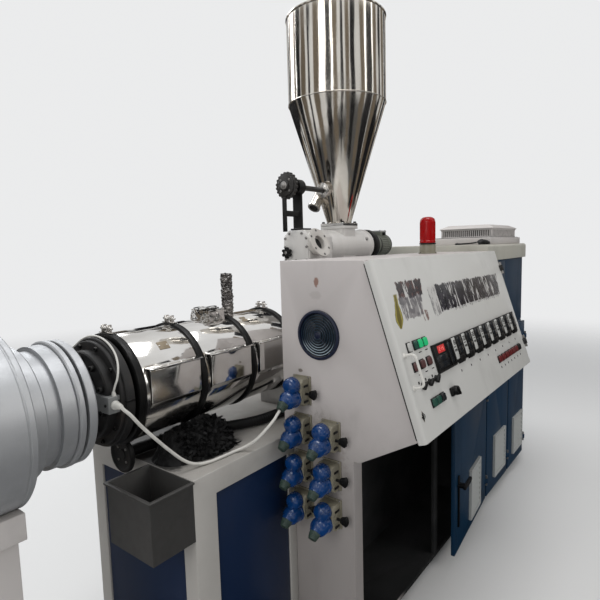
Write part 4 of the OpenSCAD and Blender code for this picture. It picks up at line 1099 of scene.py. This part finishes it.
port = bmesh.new()
port_turn = at(440, -74, 1509) @ at(turn=66, about="X")
ring = [(32.5, 24), (46, 24), (49, 24.5), (67.5, 24.5), (70, 27), (70, 32), (68, 34),
        (40, 34), (37, 32.5), (34, 33.5), (32.5, 31)]
join(port, lathe(ring, 96, closed=True), port_turn)
join(port, lathe([(32.5, -4), (46, -4), (46, 26), (32.5, 26)], 96, closed=True), port_turn)
join(port, lathe([(0, 10), (32.8, 10), (32.8, 11.5), (29, 13.5), (10, 12.5), (0, 12)], 64), port_turn, 2)
for k in range(6):
    place = port_turn @ at(turn=30 + 60 * k) @ at(58, 0, 34)
    join(port, lathe([(4.6, 0), (6.2, 0), (6.2, 0.6), (4.6, 0.6)], 24, closed=True), place, 1)
    join(port, lathe([(0, 0), (4.7, 0), (4.7, 0.3), (0, 0.3)], 24), place, 2)
port_paint = sprayed("port_paint", shade(196, 192, 186), gloss=0.42, grime=0.8, grime_colour=(0.16, 0.06, 0.035),
                     ripple=0.0005, rounding=0.002)
finish_mesh(port, "inspection_flange_ring", [port_paint, tool_steel, black_rubber],
            "inspection_flange")

# %% [markdown]
# ## Geared motor
# A dark flange, a round gear case with a waist, and a motor with cooling fins. All of it turns round one axis, so one
# outline gives the rings, and the fins are thin blocks set round it. The terminal box sits on top.

# %% Motor
motor = bmesh.new()
join(motor, lathe([(0, 0), (80, 0), (84, 4), (84, 31), (81, 34), (78, 35), (78, 39.5), (0, 39.5)],
                  96, 0.6), to_drive(1000, 0, 1505), 1)
case = [(0, 38), (59, 38), (62, 42), (62, 89), (60, 92), (53, 95), (52, 98), (52, 110),
        (53, 113), (58, 116), (58, 186), (61.5, 188), (62, 191), (62, 204), (60, 213),
        (56, 224), (49, 234), (40, 241.5), (0, 242)]
join(motor, lathe(case, 96), to_drive(1000, 0, 1505))
join(motor, lathe([(50, 95.5), (55.5, 96.5), (55.5, 111.5), (50, 112.5)], 96, closed=True),
     to_drive(1000, 0, 1505), 1)
join(motor, lathe([(50, 200), (62.8, 200), (62.8, 206), (60.5, 214), (50, 214)], 96, closed=True),
     to_drive(1000, 0, 1505), 1)
for k in range(30):
    fin = block((120, -1.3, 50), (184, 1.3, 62.5), 0.5)
    join(motor, fin, at(1000, 0, 1505) @ at(turn=12 * k, about="X"))
join(motor, block((1122, -35, 1555), (1190, 35, 1579), 3, 3))
join(motor, block((1121, -36.5, 1577), (1191, 36.5, 1585.2), 2), finish=2)
for x in (1126, 1186):
    for y in (-31, 31):
        join(motor, screw(2.8, 2.5), at(x, y, 1585), 1)
join(motor, lathe([(0, 0), (9, 0), (9, 10), (7, 14), (0, 14)], 24, 0.4),
     at(1156, -34, 1567, 90, "X"), 1)
for k in range(4):
    turn = math.radians(45 + 90 * k)
    join(motor, bolt(5, 6), at(1039.5, 70 * math.cos(turn), 1505 + 70 * math.sin(turn), 90, "Y"), 1)
finish_mesh(motor, "feeder_motor_finned", [motor_green, black_enamel, grey_white_paint],
            "feeder_motor")

# %% [markdown]
# ## Hopper
# Two sheets of mirror-bright steel, a cone and a straight part, meet at a welded seam and stand on a bolted square
# flange. It is turned in many steps, because mirror steel shows every facet. A sight strip with two fittings runs down
# one side, a capped stub pipe leaves low on the other.

# %% Hopper
bowl = bmesh.new()
sheet = [(55, 1605), (62, 1605), (60.2, 1617), (239.8, 2195.5), (240.2, 2199), (240.2, 2593.5), (235.2, 2593.5),
         (235, 2199), (55, 1618)]
join(bowl, lathe(sheet, 256, closed=True), at(757))
for z, radius, thick in ((2197, 239.5, 3.2), (2596.5, 238, 6.8), (1619.5, 61.2, 2.6)):
    join(bowl, wire_ring(radius, thick, z, 192), at(757))
join(bowl, block((689, -68, 1603.4), (825, 68, 1616.8), 1.6), finish=1)
for x in (-57, 57):
    for y in (-57, 57):
        join(bowl, rod(9.8, 1.6, 28, 0.4), at(757 + x, y, 1616.6), 1)
        join(bowl, bolt(7.4, 8), at(757 + x, y, 1618, 0.3 * x + 9, "Z"), 2)
stub = at(622, 60, 1692) @ at(turn=39, about="Y")
join(bowl, lathe([(21, 0), (29.5, 0), (31, 1.5), (31, 10.5), (29.5, 12), (27, 12), (27, 112),
                  (21, 112)], 64, closed=True), stub)
join(bowl, lathe([(0, 8.5), (21.5, 8.5), (21.5, 10), (0, 10)], 48), stub, 2)
strip = at(757, 0, 0) @ at(turn=-20) @ at(150, 0, 1907) @ at(turn=17.24, about="Y")
join(bowl, block((-2, -9, -20), (5.2, 9, 230), 1.2), strip, 1)
join(bowl, block((4.5, -5.5, -6), (6.2, 5.5, 216), 0.6), strip, 2)
for z in (-20, 218):
    join(bowl, block((-2, -12, z), (14, 12, z + 12), 1.8, 3), strip, 1)
    join(bowl, screw(4.2, 3), strip @ at(14, 0, z + 6, 90, "Y"), 2)
finish_mesh(bowl, "hopper_bright", [hopper_steel, bright_steel, black_enamel], "hopper", 14)

# %% [markdown]
# ## Agitator drive
# A chain wheel on a short shaft turns the agitator in the hopper. The wheel, its stand and the collar are packed
# shapes with softened edges. The wheel gets a nut on its end and grease in its finish.

# %% Agitator drive
grease = moulded("grease", shade(30, 28, 26), 0.3, grain=0.0008, grime=0.8)
soften("agitator_post", 1.5, black_enamel)
soften("hopper_collar", 1, bright_steel)
soften("chain_wheel", 0.8, grease, body="chain_wheel")
nut = bmesh.new()
join(nut, lathe([(0, 0), (17, 0), (17, 2), (0, 2)], 32, 0.5), to_drive(320, 0, 1773))
join(nut, rod(12, 7, 6, 1), at(321.5, 0, 1773, -90, "Y"))
join(nut, rod(6, 11, 24), at(321.5, 0, 1773, -90, "Y"))
for k in range(4):
    turn = math.radians(45 + 90 * k)
    join(nut, screw(4.5, 4), at(332, 34 * math.cos(turn), 1773 + 34 * math.sin(turn), -90, "Y"))
finish_mesh(nut, "chain_wheel_nut", tool_steel, body="chain_wheel")

# %% [markdown]
# ## Beacon
# A clear red lens over a lamp, on a beige base. Light has to get into the plastic and show the lamp inside, so the
# lens lets most of it through, and fine upright ribs break it up. A dark ring closes the lens at its foot.

# %% Beacon
beacon_red = Finish("beacon_red", Roughness=0.14, Transmission_Weight=0.35, IOR=1.42, Specular_IOR_Level=0.35)
beacon_red.set(Roughness=0.10 + beacon_red.noise(60, 3) * 0.12,
               Base_Color=beacon_red.mix(beacon_red.noise(12, 4), (0.62, 0.004, 0.006), (0.40, 0.003, 0.005)))
lens = bmesh.new()
outer = [(37.5, 0), (38, 1), (38, 8), (36, 10.5), (36, 104), (34.5, 111), (31, 117),
         (24, 122.5), (14, 125.2), (0, 126)]
inner = [(0, 123), (13, 122.2), (22, 119.7), (28.5, 114.8), (31.8, 109.5), (33.2, 104), (33.2, 0), (37.5, 0)]
join(lens, lathe(outer + inner[:-1], 96, closed=False), at(930, -400, 1507))
for k in range(36):
    rib = block((35.5, -1, 16), (37.2, 1, 100), 0.5, 1)
    join(lens, rib, at(930, -400, 1507, 10 * k))
finish_mesh(lens, "beacon_lens_clear", beacon_red, "beacon_lens")
base = bmesh.new()
join(base, lathe([(0, 0), (42.5, 0), (44, 1.5), (44, 4), (38.5, 6), (38, 10), (38, 42),
                  (37, 44), (34, 45), (34, 52.2), (0, 52.2)], 64), at(930, -400, 1455))
join(base, lathe([(34, 45.5), (39.2, 45.5), (39.5, 47), (39.5, 51.5), (34, 51.5)], 64, closed=True),
     at(930, -400, 1455), 1)
join(base, lathe([(0, 0), (13, 0), (13, 18), (10.5, 22), (10.5, 48), (7, 56), (0, 58)], 32),
     at(930, -400, 1507), 2)
for k in range(3):
    turn = math.radians(30 + 120 * k)
    join(base, screw(2.8, 2.2), at(930 + 41.2 * math.cos(turn), -400 + 41.2 * math.sin(turn), 1459.2), 1)
glass = moulded("lamp_glass", shade(220, 210, 190), 0.1, rounding=0)
finish_mesh(base, "beacon_base_turned", [beige_plastic, black_rubber, glass], "beacon_base")

# %% [markdown]
# ## Cooling unit
# A flat box with a sloping lid, and under the lid a band of narrow upright slots on all four sides. Behind the slots
# it is dark. So a dark inner box stands behind a row of thin white fins, each a real piece, between two white frames.
# A rubber boot lies on the roof beside it, where its lead goes in.

# %% Cooling unit
unit = bmesh.new()
join(unit, block((1500, -530, 1490.2), (2120, -170, 1530), 3, 3))
join(unit, block((1512, -519, 1529), (2108, -181, 1533), 1), finish=1)
join(unit, block((1610, -498, 1530), (2070, -210, 1583), 0), finish=1)
join(unit, block((1600, -508, 1532), (2080, -200, 1539), 0.8))
join(unit, block((1598, -510, 1575), (2082, -198, 1583), 0.8))
corners = [(1600, 1612, -508, -496), (2068, 2080, -508, -496), (1600, 1612, -212, -200),
           (2068, 2080, -212, -200)]
for x0, x1, y0, y1 in corners:
    join(unit, block((x0, y0, 1536), (x1, y1, 1577), 1))
fins = bmesh.new()
for k in range(1, 24):
    y = -502 + 296 * k / 24
    for x in (1600.5, 2071.5):
        join(fins, block((x, y - 3, 1538), (x + 8, y + 3, 1576), 0.5, 1))
for k in range(1, 38):
    x = 1606 + 468 * k / 38
    for y in (-507.5, -208.5):
        join(fins, block((x - 3, y, 1538), (x + 3, y + 8, 1576), 0.5, 1))
join(unit, fins)
cover = block((1592, -516, 1582.2), (2088, -192, 1588.6), 0)
crown = [face for face in cover.faces if face.normal.z > 0.9]
raised = bmesh.ops.extrude_face_region(cover, geom=crown)["geom"]
top = [vert for vert in raised if isinstance(vert, bmesh.types.BMVert)]
bmesh.ops.translate(cover, vec=(0, 0, 0.019), verts=top)
bmesh.ops.scale(cover, vec=(0.83, 0.75, 1), verts=top, space=at(-1840, 354, 0))
bmesh.ops.delete(cover, geom=crown, context="FACES_ONLY")
bmesh.ops.recalc_face_normals(cover, faces=cover.faces)
round_edges(cover, 2.5, 3, 12)
join(unit, cover)
boot = bmesh.new()
bmesh.ops.create_icosphere(boot, subdivisions=4, radius=1)
bmesh.ops.scale(boot, vec=(0.042, 0.024, 0.017), verts=boot.verts)
crumple(boot, (10, 30, 4), (4, 90, 2))
join(unit, boot, at(1462, -500, 1503.5, -32), 1)
tail = smooth_route([(1440, -470, 1503), (1425, -440, 1499), (1420, -400, 1497), (1432, -360, 1496), (1465, -340, 1496),
                     (1502, -338, 1499)], 6)
join(unit, sweep(tail, 4.2, 12), finish=1)
finish_mesh(unit, "cooling_unit_slotted", [white_paint, black_rubber], "cooling_unit", 30)

# %% [markdown]
# ## Cabinet, housing, roof and bed
# These are large folded sheets whose imported shapes are right, so they are softened copies. The open bay under the
# console lies in deep shade, and that shade is painted into the cabinet's finish as a near-black colour: a soft box in
# Object coordinates marks the bay. The cabinet is also painted darker towards the bottom, as painted shade. Hands leave
# marks on the end panel, and one reddish smear sits high up on it.

# %% Cabinet
cabinet_paint = sprayed("cabinet_paint", shade(192, 186, 184), gloss=0.40, grime=0.35, rounding=0.002, shine=0.4)
# Painted shade: a soft box in Object coordinates marks the open bay, which is coloured near black as if in deep shade.
bay_painted_shade = (cabinet_paint.axis("X").step(0.006, 0.012) * cabinet_paint.axis("X").step(1.354, 1.350)
       * cabinet_paint.axis("Z").step(0.772, 0.768)
       * cabinet_paint.axis("Y").step(-0.5345, -0.531).most(cabinet_paint.axis("X").step(0.3, 0.4)))
outside, outside_rough = cabinet_paint.now("Base Color"), cabinet_paint.now("Roughness")


def smear(y, z, across, tall, level):
    """1 inside a ragged patch on the end panel, about a place on it."""
    apart = cabinet_paint.add("ShaderNodeVectorMath", {"operation": "LENGTH", "out": 1},
                              cabinet_paint.stretched((0.3, 1 / across, 1 / tall), (0, y, z)))
    ragged = apart + (cabinet_paint.noise(60, 5, roughness=0.7) - 0.5) * 1.3
    return ragged.step(1.0, 0.6) * level


outside = cabinet_paint.mix(smear(-0.396, 1.381, 0.012, 0.020, 0.8), outside, (0.20, 0.075, 0.040))
for y, z, across, tall, level in ((-0.392, 1.335, 0.030, 0.018, 0.14), (-0.318, 1.060, 0.012, 0.008, 0.8),
                                  (-0.330, 0.985, 0.060, 0.050, 0.30), (-0.400, 0.760, 0.120, 0.180, 0.35)):
    outside = cabinet_paint.mix(smear(y, z, across, tall, level), outside, (0.13, 0.105, 0.085))
# Painted shade: the cabinet grows darker towards the bottom, with a ragged edge.
lower_painted_shade = cabinet_paint.axis("Z") + (cabinet_paint.noise(4, 6, roughness=0.65) - 0.5) * 0.30
outside = cabinet_paint.mix(lower_painted_shade.step(1.02, 0.60) * 0.55, outside, (0.15, 0.135, 0.125))
# The bay's painted shade colour, near black and a little mottled.
bay_shade_colour = cabinet_paint.mix(cabinet_paint.noise(7, 6).step(0.4, 0.7), (0.005, 0.0055, 0.006), (0.015, 0.015, 0.016))
cabinet_paint.set(Base_Color=cabinet_paint.mix(bay_painted_shade, outside, bay_shade_colour), Roughness=outside_rough + bay_painted_shade * 0.4)
soften("cabinet", 1.5, cabinet_paint)

# %% Screws and catch on the cabinet
fittings = bmesh.new()
for y, z in ((-348, 1133), (-448, 1131)):
    join(fittings, rod(6.5, 1.2, 28, 0.3), at(0, y, z, -90, "Y"))
    join(fittings, screw(4.5, 4), at(-1, y, z, -90, "Y"))
for z in (830, 1395):
    for x in (26.5, 41.5):
        join(fittings, lathe([(0, 0), (4.5, 0), (3.5, 2), (0, 2.5)], 20), at(x, -536, z, 90, "X"))
finish_mesh(fittings, "cabinet_screws", tool_steel)
catch = bmesh.new()
join(catch, lathe([(0, 0), (7, 0), (7, 10), (11, 14), (12, 20), (10.5, 25), (0, 26)], 36),
     at(34, -536, 985, 90, "X"))
finish_mesh(catch, "cabinet_catch_knob", black_plastic)

# %% [markdown]
# ## Fan guard
# A finger guard of round wire stands in a pressed rim, with the fan close behind it. The wires form a shallow dome, and
# the lower arcs are painted pale, a painted highlight where they would catch the light. Rings, spokes, hub and seven
# tilted blades are all separate shapes.

# %% Fan guard
guard = bmesh.new()
guard_place = at(0, -401, 1196, -90, "Y")
join(guard, lathe([(76.5, -14), (76.5, 4), (77.5, 7.2), (80, 8), (86, 6.4), (88, 3),
                   (88, 0.3), (78, 0.3), (78, -14)], 128, closed=True), guard_place)
for k in range(7):
    radius = 15 + 9.2 * k
    join(guard, wire_ring(radius, 1.2, 2.7 + 3.8 * (1 - (radius / 80) ** 2), 96, 8), guard_place, 1)
for k in range(4):
    arm = [Vector((r, 0, 1 + 4 * (1 - (r / 80) ** 2))) / 1000 for r in (10, 28, 46, 62, 77)]
    join(guard, sweep(arm, 1.4, 10), guard_place @ at(turn=45 + 90 * k))
join(guard, lathe([(0, 3.5), (12.5, 3.5), (12.5, 6.2), (10.5, 7.4), (0, 7.8)], 48), guard_place)
join(guard, lathe([(0, -13), (27, -13), (27, -6), (24.5, -3), (0, -2.5)], 48), guard_place, 2)
for k in range(7):
    blade = block((24, -15, -0.7), (72.5, 15, 0.7), 0.5)
    join(guard, blade, guard_place @ at(turn=360 * k / 7) @ at(z=-7.5, turn=16, about="X"), 2)
join(guard, rod(76.8, 1.6, 64, 0), guard_place @ at(z=-15.6), 2)
fan_black = moulded("fan_black", shade(10, 24, 36), 0.45, grime=0.4)
wire_blue = sprayed("wire_blue", shade(40, 70, 94), gloss=0.3, grime=0.3, grime_colour=(0.02, 0.02, 0.02), chips=0,
                    coat=0.2)
# Painted highlight: the lower wires of the guard are pale and the upper ones dark, as if only the lower arcs caught the
# light.
wire_blue.set(Base_Color=wire_blue.mix(wire_blue.axis("Z").step(1.18, 1.14), shade(22, 48, 66), shade(178, 196, 206)))
finish_mesh(guard, "fan_guard_wired", [dark_blue_paint, wire_blue, fan_black], "fan_grille")

# %% [markdown]
# ## Housing, doors and roof
# The drive housing and its doors are deep blue, paler high up, where a reflection of the hall is painted into the blue.
# The roof is the dustiest sheet of all, because nobody wipes it.

# %% Housing, doors and roof
roof_paint = sprayed("roof_paint", shade(178, 176, 166), gloss=0.48, grime=0.6, dust=0.6, rounding=0.002, shine=0.35)
soften("drive_housing", 1.5, blue_paint)
soften("roof_cover", 3, roof_paint, 3)
for door, louvre in (("door_1", "louvre_1"), ("door_2", "louvre_2"), ("door_3", "louvre_3")):
    soften(door, 2.5, blue_paint, 3, door)
    soften(louvre, 0.8, grey_white_paint, 1, door)
soften("door_handle", 1.5, black_plastic, body="door_1")

# %% [markdown]
# ## Bed, stand and tray
# The bed is a hollow welded frame whose corner is cut open for the tray. Its top is grey with dirt that has been ground
# in and black where scrap falls under the barrel; its sides are cleaner, but a painted shade darkens them too. The tray
# at the end is bare sheet. All these imported shapes are right, so they are softened copies, and the bed gets a finish
# that darkens most on what faces up.

# %% Bed
bed_paint = sprayed("bed_paint", shade(186, 183, 178), gloss=0.42, grime=0.55, dust=0.3, rounding=0.002, shine=0.35)
# Ground-in dirt on the tops, and painted shade on the sides: faces that do not face up are darkened too, a little less
# than the tops.
ground_in_and_side_shade = bed_paint.facing_up().step(0.6, 0.95, 0.30, 0.45) * (0.5 + bed_paint.noise(5, 6, roughness=0.65))
drifting = (bed_paint.noise(14, 6, roughness=0.7) - 0.5) * 0.16
black_dust = ((abs(bed_paint.axis("Y") - 0.02) + drifting).step(0.215, 0.165)
              * (bed_paint.axis("X") + drifting).step(-0.14, -0.22))
bed_tone = bed_paint.mix(ground_in_and_side_shade, bed_paint.now("Base Color"), (0.20, 0.185, 0.17))
bed_paint.set(Base_Color=bed_paint.mix(black_dust * bed_paint.facing_up().step(0.6, 0.95) * 0.9, bed_tone,
                                       (0.015, 0.015, 0.015)))
bed_blue = sprayed("bed_blue", shade(12, 32, 62), gloss=0.36, grime=0.5, grime_colour=(0.01, 0.01, 0.012), coat=0.06,
                   shine=0.28,
                   chips=0.35)
soften("bed_frame", 3, bed_paint, 3)
soften("bed_panels", 1.5, bed_blue)
tray_steel = turned("tray_steel", (0.075, 0.073, 0.070), 0.45, 0.5, metallic=0.4)
soften("end_tray", 1, tray_steel, kept=lambda place: place.y < -0.05)
soften("die_stand", 3, white_paint)
soften("barrel", 1, tool_steel)
soften("feet", 1, tool_steel)

# %% [markdown]
# ## Coupling on the tray's wall
# A round black coupling waits on the bed's end with its cover on. It is a thick rolled rim round a shallow dish, with
# a short ribbed neck behind it and four screws.

# %% Coupling
coupling = bmesh.new()
coupling_place = at(-492, 25, 846, -90, "Y")
face = [(0, 27.5), (16, 27.5), (19, 24.5), (40, 24.5), (46, 27.5), (50, 31.5), (56, 31.8),
        (59.5, 28.5), (60, 24), (59, 17), (56, 14.3), (34.5, 14), (0, 14)]
join(coupling, lathe(face, 96), coupling_place)
neck = [(0, 0)] + [(34 - 2.2 * (k % 2), 0.2 + 2 * k) for k in range(8)] + [(0, 15)]
join(coupling, lathe(neck, 64), coupling_place)
for k in range(4):
    join(coupling, screw(4, 3.5), coupling_place @ at(turn=45 + 90 * k) @ at(30, 0, 24), 1)
finish_mesh(coupling, "end_coupling", [black_rubber, tool_steel], "end_tray")

# %% [markdown]
# ## Heap of scrap film
# The heap under the barrel is black film and crumbs: a soft mound with hundreds of curled flakes standing out of it,
# densest and tallest along the edge towards the operator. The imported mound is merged, cut fine and pushed about by
# noise. Each flake is one small bent sheet, placed by a ray from above that finds the mound under it.

# %% Heap
heap = bmesh.new()
heap.from_mesh(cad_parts["scrap_heap"].data)
bmesh.ops.remove_doubles(heap, verts=heap.verts, dist=1e-5)
bmesh.ops.dissolve_limit(heap, angle_limit=math.radians(1), verts=heap.verts, edges=heap.edges)
bmesh.ops.triangulate(heap, faces=heap.faces)
for _ in range(5):
    long_ones = [e for e in heap.edges if e.calc_length() > 0.008]
    if not long_ones or len(heap.faces) > 60000:
        break
    bmesh.ops.subdivide_edges(heap, edges=long_ones, cuts=1)
    bmesh.ops.triangulate(heap, faces=[f for f in heap.faces if len(f.verts) > 3])
bmesh.ops.recalc_face_normals(heap, faces=heap.faces)
mound = BVHTree.FromBMesh(heap)
for vert in heap.verts:
    if vert.co.z > 0.8262:
        rough = noise.noise(vert.co * 38) * 0.008 + abs(noise.noise(vert.co * 95)) * 0.007
        inward = Vector((-0.300, -0.105, 0.845)) - vert.co
        vert.co -= inward.normalized() * (rough - 0.0035)
        vert.co.z = max(vert.co.z, 0.8256)
print("mound faces", len(heap.faces))
random.seed(12)
flakes = 0
while flakes < 620:
    x, y = random.uniform(-0.420, -0.205), random.uniform(-0.206, 0.085)
    spot, normal, _, _ = mound.ray_cast(Vector((x, y, 1.3)), Vector((0, 0, -1)))
    if spot is None or spot.z < 0.827 or (spot - Vector((spot.x, 0, 1.08))).length < 0.196:
        continue
    size = random.uniform(0.010, 0.026) * (1.35 if y < -0.12 else 1.0)
    flake = bmesh.new()
    bmesh.ops.create_grid(flake, x_segments=3, y_segments=2, size=0.5)
    curl, taper = random.uniform(-2.4, 2.4), random.uniform(0.0, 0.8)
    for vert in flake.verts:
        u, v = vert.co.x, vert.co.y
        vert.co = Vector((u * size, v * size * random.uniform(0.35, 0.5) * (1 - taper * (u + 0.5)),
                          curl * u * u * size * 0.5))
    tilt = normal.to_track_quat("Z", "Y").to_matrix().to_4x4()
    place = (Matrix.Translation(spot) @ tilt @ Matrix.Rotation(random.uniform(0, math.tau), 4, "Z")
             @ Matrix.Rotation(random.uniform(-1.25, -0.15), 4, "Y") @ at(size * 300))
    ends = [place @ vert.co for vert in flake.verts]
    clear = all(math.hypot(p.y, p.z - 1.08) > 0.181 and p.z > 0.8258 and not (p.z < 0.8775 and -0.045 < p.y < 0.065)
                for p in ends)
    if not clear:
        flake.free()
        continue
    bmesh.ops.transform(flake, matrix=place, verts=flake.verts)
    bmesh.ops.solidify(flake, geom=flake.faces[:], thickness=0.0005)
    join(heap, flake)
    flakes += 1
scrap_black = moulded("scrap_black", shade(13, 13, 14), 0.5, grain=0.0008, fade=0.10, grime=0.2, rounding=0)
scrap_black.set(Specular_IOR_Level=0.22)
finish_mesh(heap, "scrap_heap_flaked", scrap_black, "scrap_heap", 40)
print("flakes", flakes)

# %% [markdown]
# ## Floor, lamps and background
# A pale floor catches the shadow, and fades into the background so that no horizon cuts the picture. The background is
# pale only for rays from the camera or off metal and glass, so it adds no light of its own. Four large lamps stand
# where the hall's windows would be. Mirror-bright sheet looks polished only when it has something dark to show, so a
# few dark cards stand round the machine: they are seen in reflections and nowhere else.

# %% Floor
bm = bmesh.new()
bmesh.ops.create_circle(bm, cap_ends=True, segments=96, radius=14)
floor_mesh = bpy.data.meshes.new("floor")
bm.to_mesh(floor_mesh)
bm.free()
floor = bpy.data.objects.new("floor", floor_mesh)
bpy.context.collection.objects.link(floor)
floor_paint = Finish("floor_paint", Roughness=0.85, Base_Color=(0.74, 0.735, 0.725), Specular_IOR_Level=0.0)
clear = floor_paint.add("ShaderNodeBsdfTransparent", {})
away = floor_paint.add("ShaderNodeVectorMath", {"operation": "DISTANCE", "out": 1}, floor_paint.place, (0.6, 0, 0))
seen = floor_paint.add("ShaderNodeMixShader", {}, away.step(3.4, 9),
                       Wire(floor_paint, floor_paint.shader.outputs[0]), clear)
floor_paint.tree.links.new(seen.socket, floor_paint.tree.nodes["Material Output"].inputs[0])
floor_mesh.materials.append(floor_paint.material)
print("floor", floor_mesh.name)


# %% Lamps
def lamp(name, place, target, size, power, colour=(1, 1, 1)):
    """A large square lamp that points at a target."""
    light = bpy.data.objects.new(name, bpy.data.lights.new(name, "AREA"))
    light.data.shape, light.data.size = "SQUARE", size
    light.data.energy, light.data.color = power, colour
    light.location = place
    light.rotation_euler = (Vector(target) - Vector(place)).to_track_quat("-Z", "Y").to_euler()
    bpy.context.collection.objects.link(light)
    return light


lamp("lamp_windows", (0.5, 5.0, 4.4), (0.6, 0, 1.3), 3.4, 190, (0.96, 0.98, 1.0))
lamp("lamp_left", (-5.2, -1.2, 3.6), (0.2, -0.1, 1.1), 3.2, 110, (1.0, 0.99, 0.97))
lamp("lamp_front", (2.2, -5.4, 3.6), (0.9, -0.4, 0.9), 3.2, 78, (1.0, 0.98, 0.95))
lamp("lamp_top", (0.4, -0.6, 6.2), (0.6, 0, 1.2), 3.0, 128)

# %% Background
world = bpy.context.scene.world or bpy.data.worlds.new("hall")
bpy.context.scene.world = world
world.use_nodes = True
web = world.node_tree
web.nodes.clear()
rays = web.nodes.new("ShaderNodeLightPath")
soft_light, backdrop = web.nodes.new("ShaderNodeBackground"), web.nodes.new("ShaderNodeBackground")
soft_light.inputs[0].default_value, soft_light.inputs[1].default_value = (0.93, 0.96, 1.0, 1), 0.34
backdrop.inputs[0].default_value, backdrop.inputs[1].default_value = (0.83, 0.835, 0.84, 1), 1.0
either = web.nodes.new("ShaderNodeMath")
either.operation = "MAXIMUM"
web.links.new(rays.outputs["Is Camera Ray"], either.inputs[0])
web.links.new(rays.outputs["Is Glossy Ray"], either.inputs[1])
any_of = web.nodes.new("ShaderNodeMath")
any_of.operation = "MAXIMUM"
web.links.new(either.outputs[0], any_of.inputs[0])
web.links.new(rays.outputs["Is Transmission Ray"], any_of.inputs[1])
choose = web.nodes.new("ShaderNodeMixShader")
web.links.new(any_of.outputs[0], choose.inputs[0])
web.links.new(soft_light.outputs[0], choose.inputs[1])
web.links.new(backdrop.outputs[0], choose.inputs[2])
web.links.new(choose.outputs[0], web.nodes.new("ShaderNodeOutputWorld").inputs[0])
print("background", tuple(round(v, 2) for v in backdrop.inputs[0].default_value))

# %% Dark cards
card_black = Finish("card_black", Base_Color=(0.02, 0.02, 0.022), Roughness=1.0, Specular_IOR_Level=0.0)
card_brown = Finish("card_brown", Base_Color=(0.20, 0.165, 0.125), Roughness=1.0, Specular_IOR_Level=0.0)
card_grey = Finish("card_grey", Base_Color=(0.13, 0.13, 0.13), Roughness=1.0, Specular_IOR_Level=0.0)
card_pale = Finish("card_pale", Base_Color=(0.80, 0.79, 0.77), Roughness=1.0, Specular_IOR_Level=0.0)


def dark_card(name, place, target, width, height, finish=card_black, taper=1.0, turn=None):
    """A card that only reflections see. Its far end may be narrower."""
    bm = bmesh.new()
    bmesh.ops.create_grid(bm, x_segments=1, y_segments=1, size=0.5)
    bmesh.ops.scale(bm, vec=(taper, 1, 1), verts=[vert for vert in bm.verts if vert.co.y > 0])
    bmesh.ops.scale(bm, vec=(width, height, 1), verts=bm.verts)
    aim = (Vector(target) - Vector(place)).to_track_quat("-Z", "Y").to_matrix().to_4x4()
    if turn is not None:
        aim = Matrix.Rotation(turn, 4, "Z")
    bmesh.ops.transform(bm, matrix=Matrix.Translation(place) @ aim, verts=bm.verts)
    mesh = bpy.data.meshes.new(name)
    bm.to_mesh(mesh)
    bm.free()
    mesh.materials.append(finish.material)
    card = bpy.data.objects.new(name, mesh)
    bpy.context.collection.objects.link(card)
    card.visible_camera = card.visible_diffuse = card.visible_shadow = False
    card.visible_transmission = card.visible_volume_scatter = False


for i, (angle, width) in enumerate([(70, 0.5), (95, 0.25), (118, 0.9), (150, 0.4), (195, 0.8), (225, 0.35), (250, 0.6),
                                    (290, 1.1), (325, 0.5), (355, 0.8), (30, 0.7), (82, 0.7), (106, 0.5), (135, 0.8),
                                    (170, 0.9),
                                    (210, 0.7), (238, 0.5), (272, 0.8), (308, 0.7), (340, 0.6), (12, 0.9), (50, 0.8)]):
    turn, finish = math.radians(angle), card_black if i < 11 else card_brown
    dark_card(f"card_{i}", (0.757 + 3.6 * math.cos(turn), 3.6 * math.sin(turn), 2.5), (0.757, 0, 2.5), width, 3.4,
              finish)
    dark_card(f"card_strip_{i}", (0.757 + 5.4 * math.cos(turn), 5.4 * math.sin(turn), 0.006), (0.757, 0, 0),
              0.6 * width,
              6.4, finish, 3.9, turn - math.pi / 2)
dark_card("card_beam", (1.2, 2.4, 2.4), (-0.3, 0, 1.08), 4.0, 0.6)
dark_card("card_floor", (0.6, 0, 0.004), (0.6, 0, 3), 18, 18, card_grey)
dark_card("card_heap", (-0.6, -1.5, 0.012), (-0.6, -1.5, 3), 3.6, 2.2)
path = at(turn=139) @ Vector((0, 5.2, 0))
dark_card("card_path", (0.757 + path.x, path.y, 0.008), (0.757, 0, 0), 6.0, 5.0, card_pale, 0.25, math.radians(139))
dark_card("card_aisle", (-0.4, -4.6, 1.0), (-0.4, 0, 1.0), 5.0, 1.5, card_grey)
dark_card("card_right", (6.2, -3.6, 1.2), (1.7, -0.5, 1.0), 6.0, 2.4)

# %% [markdown] ## Finish

# %% Finish
bpy.context.view_layer.update()
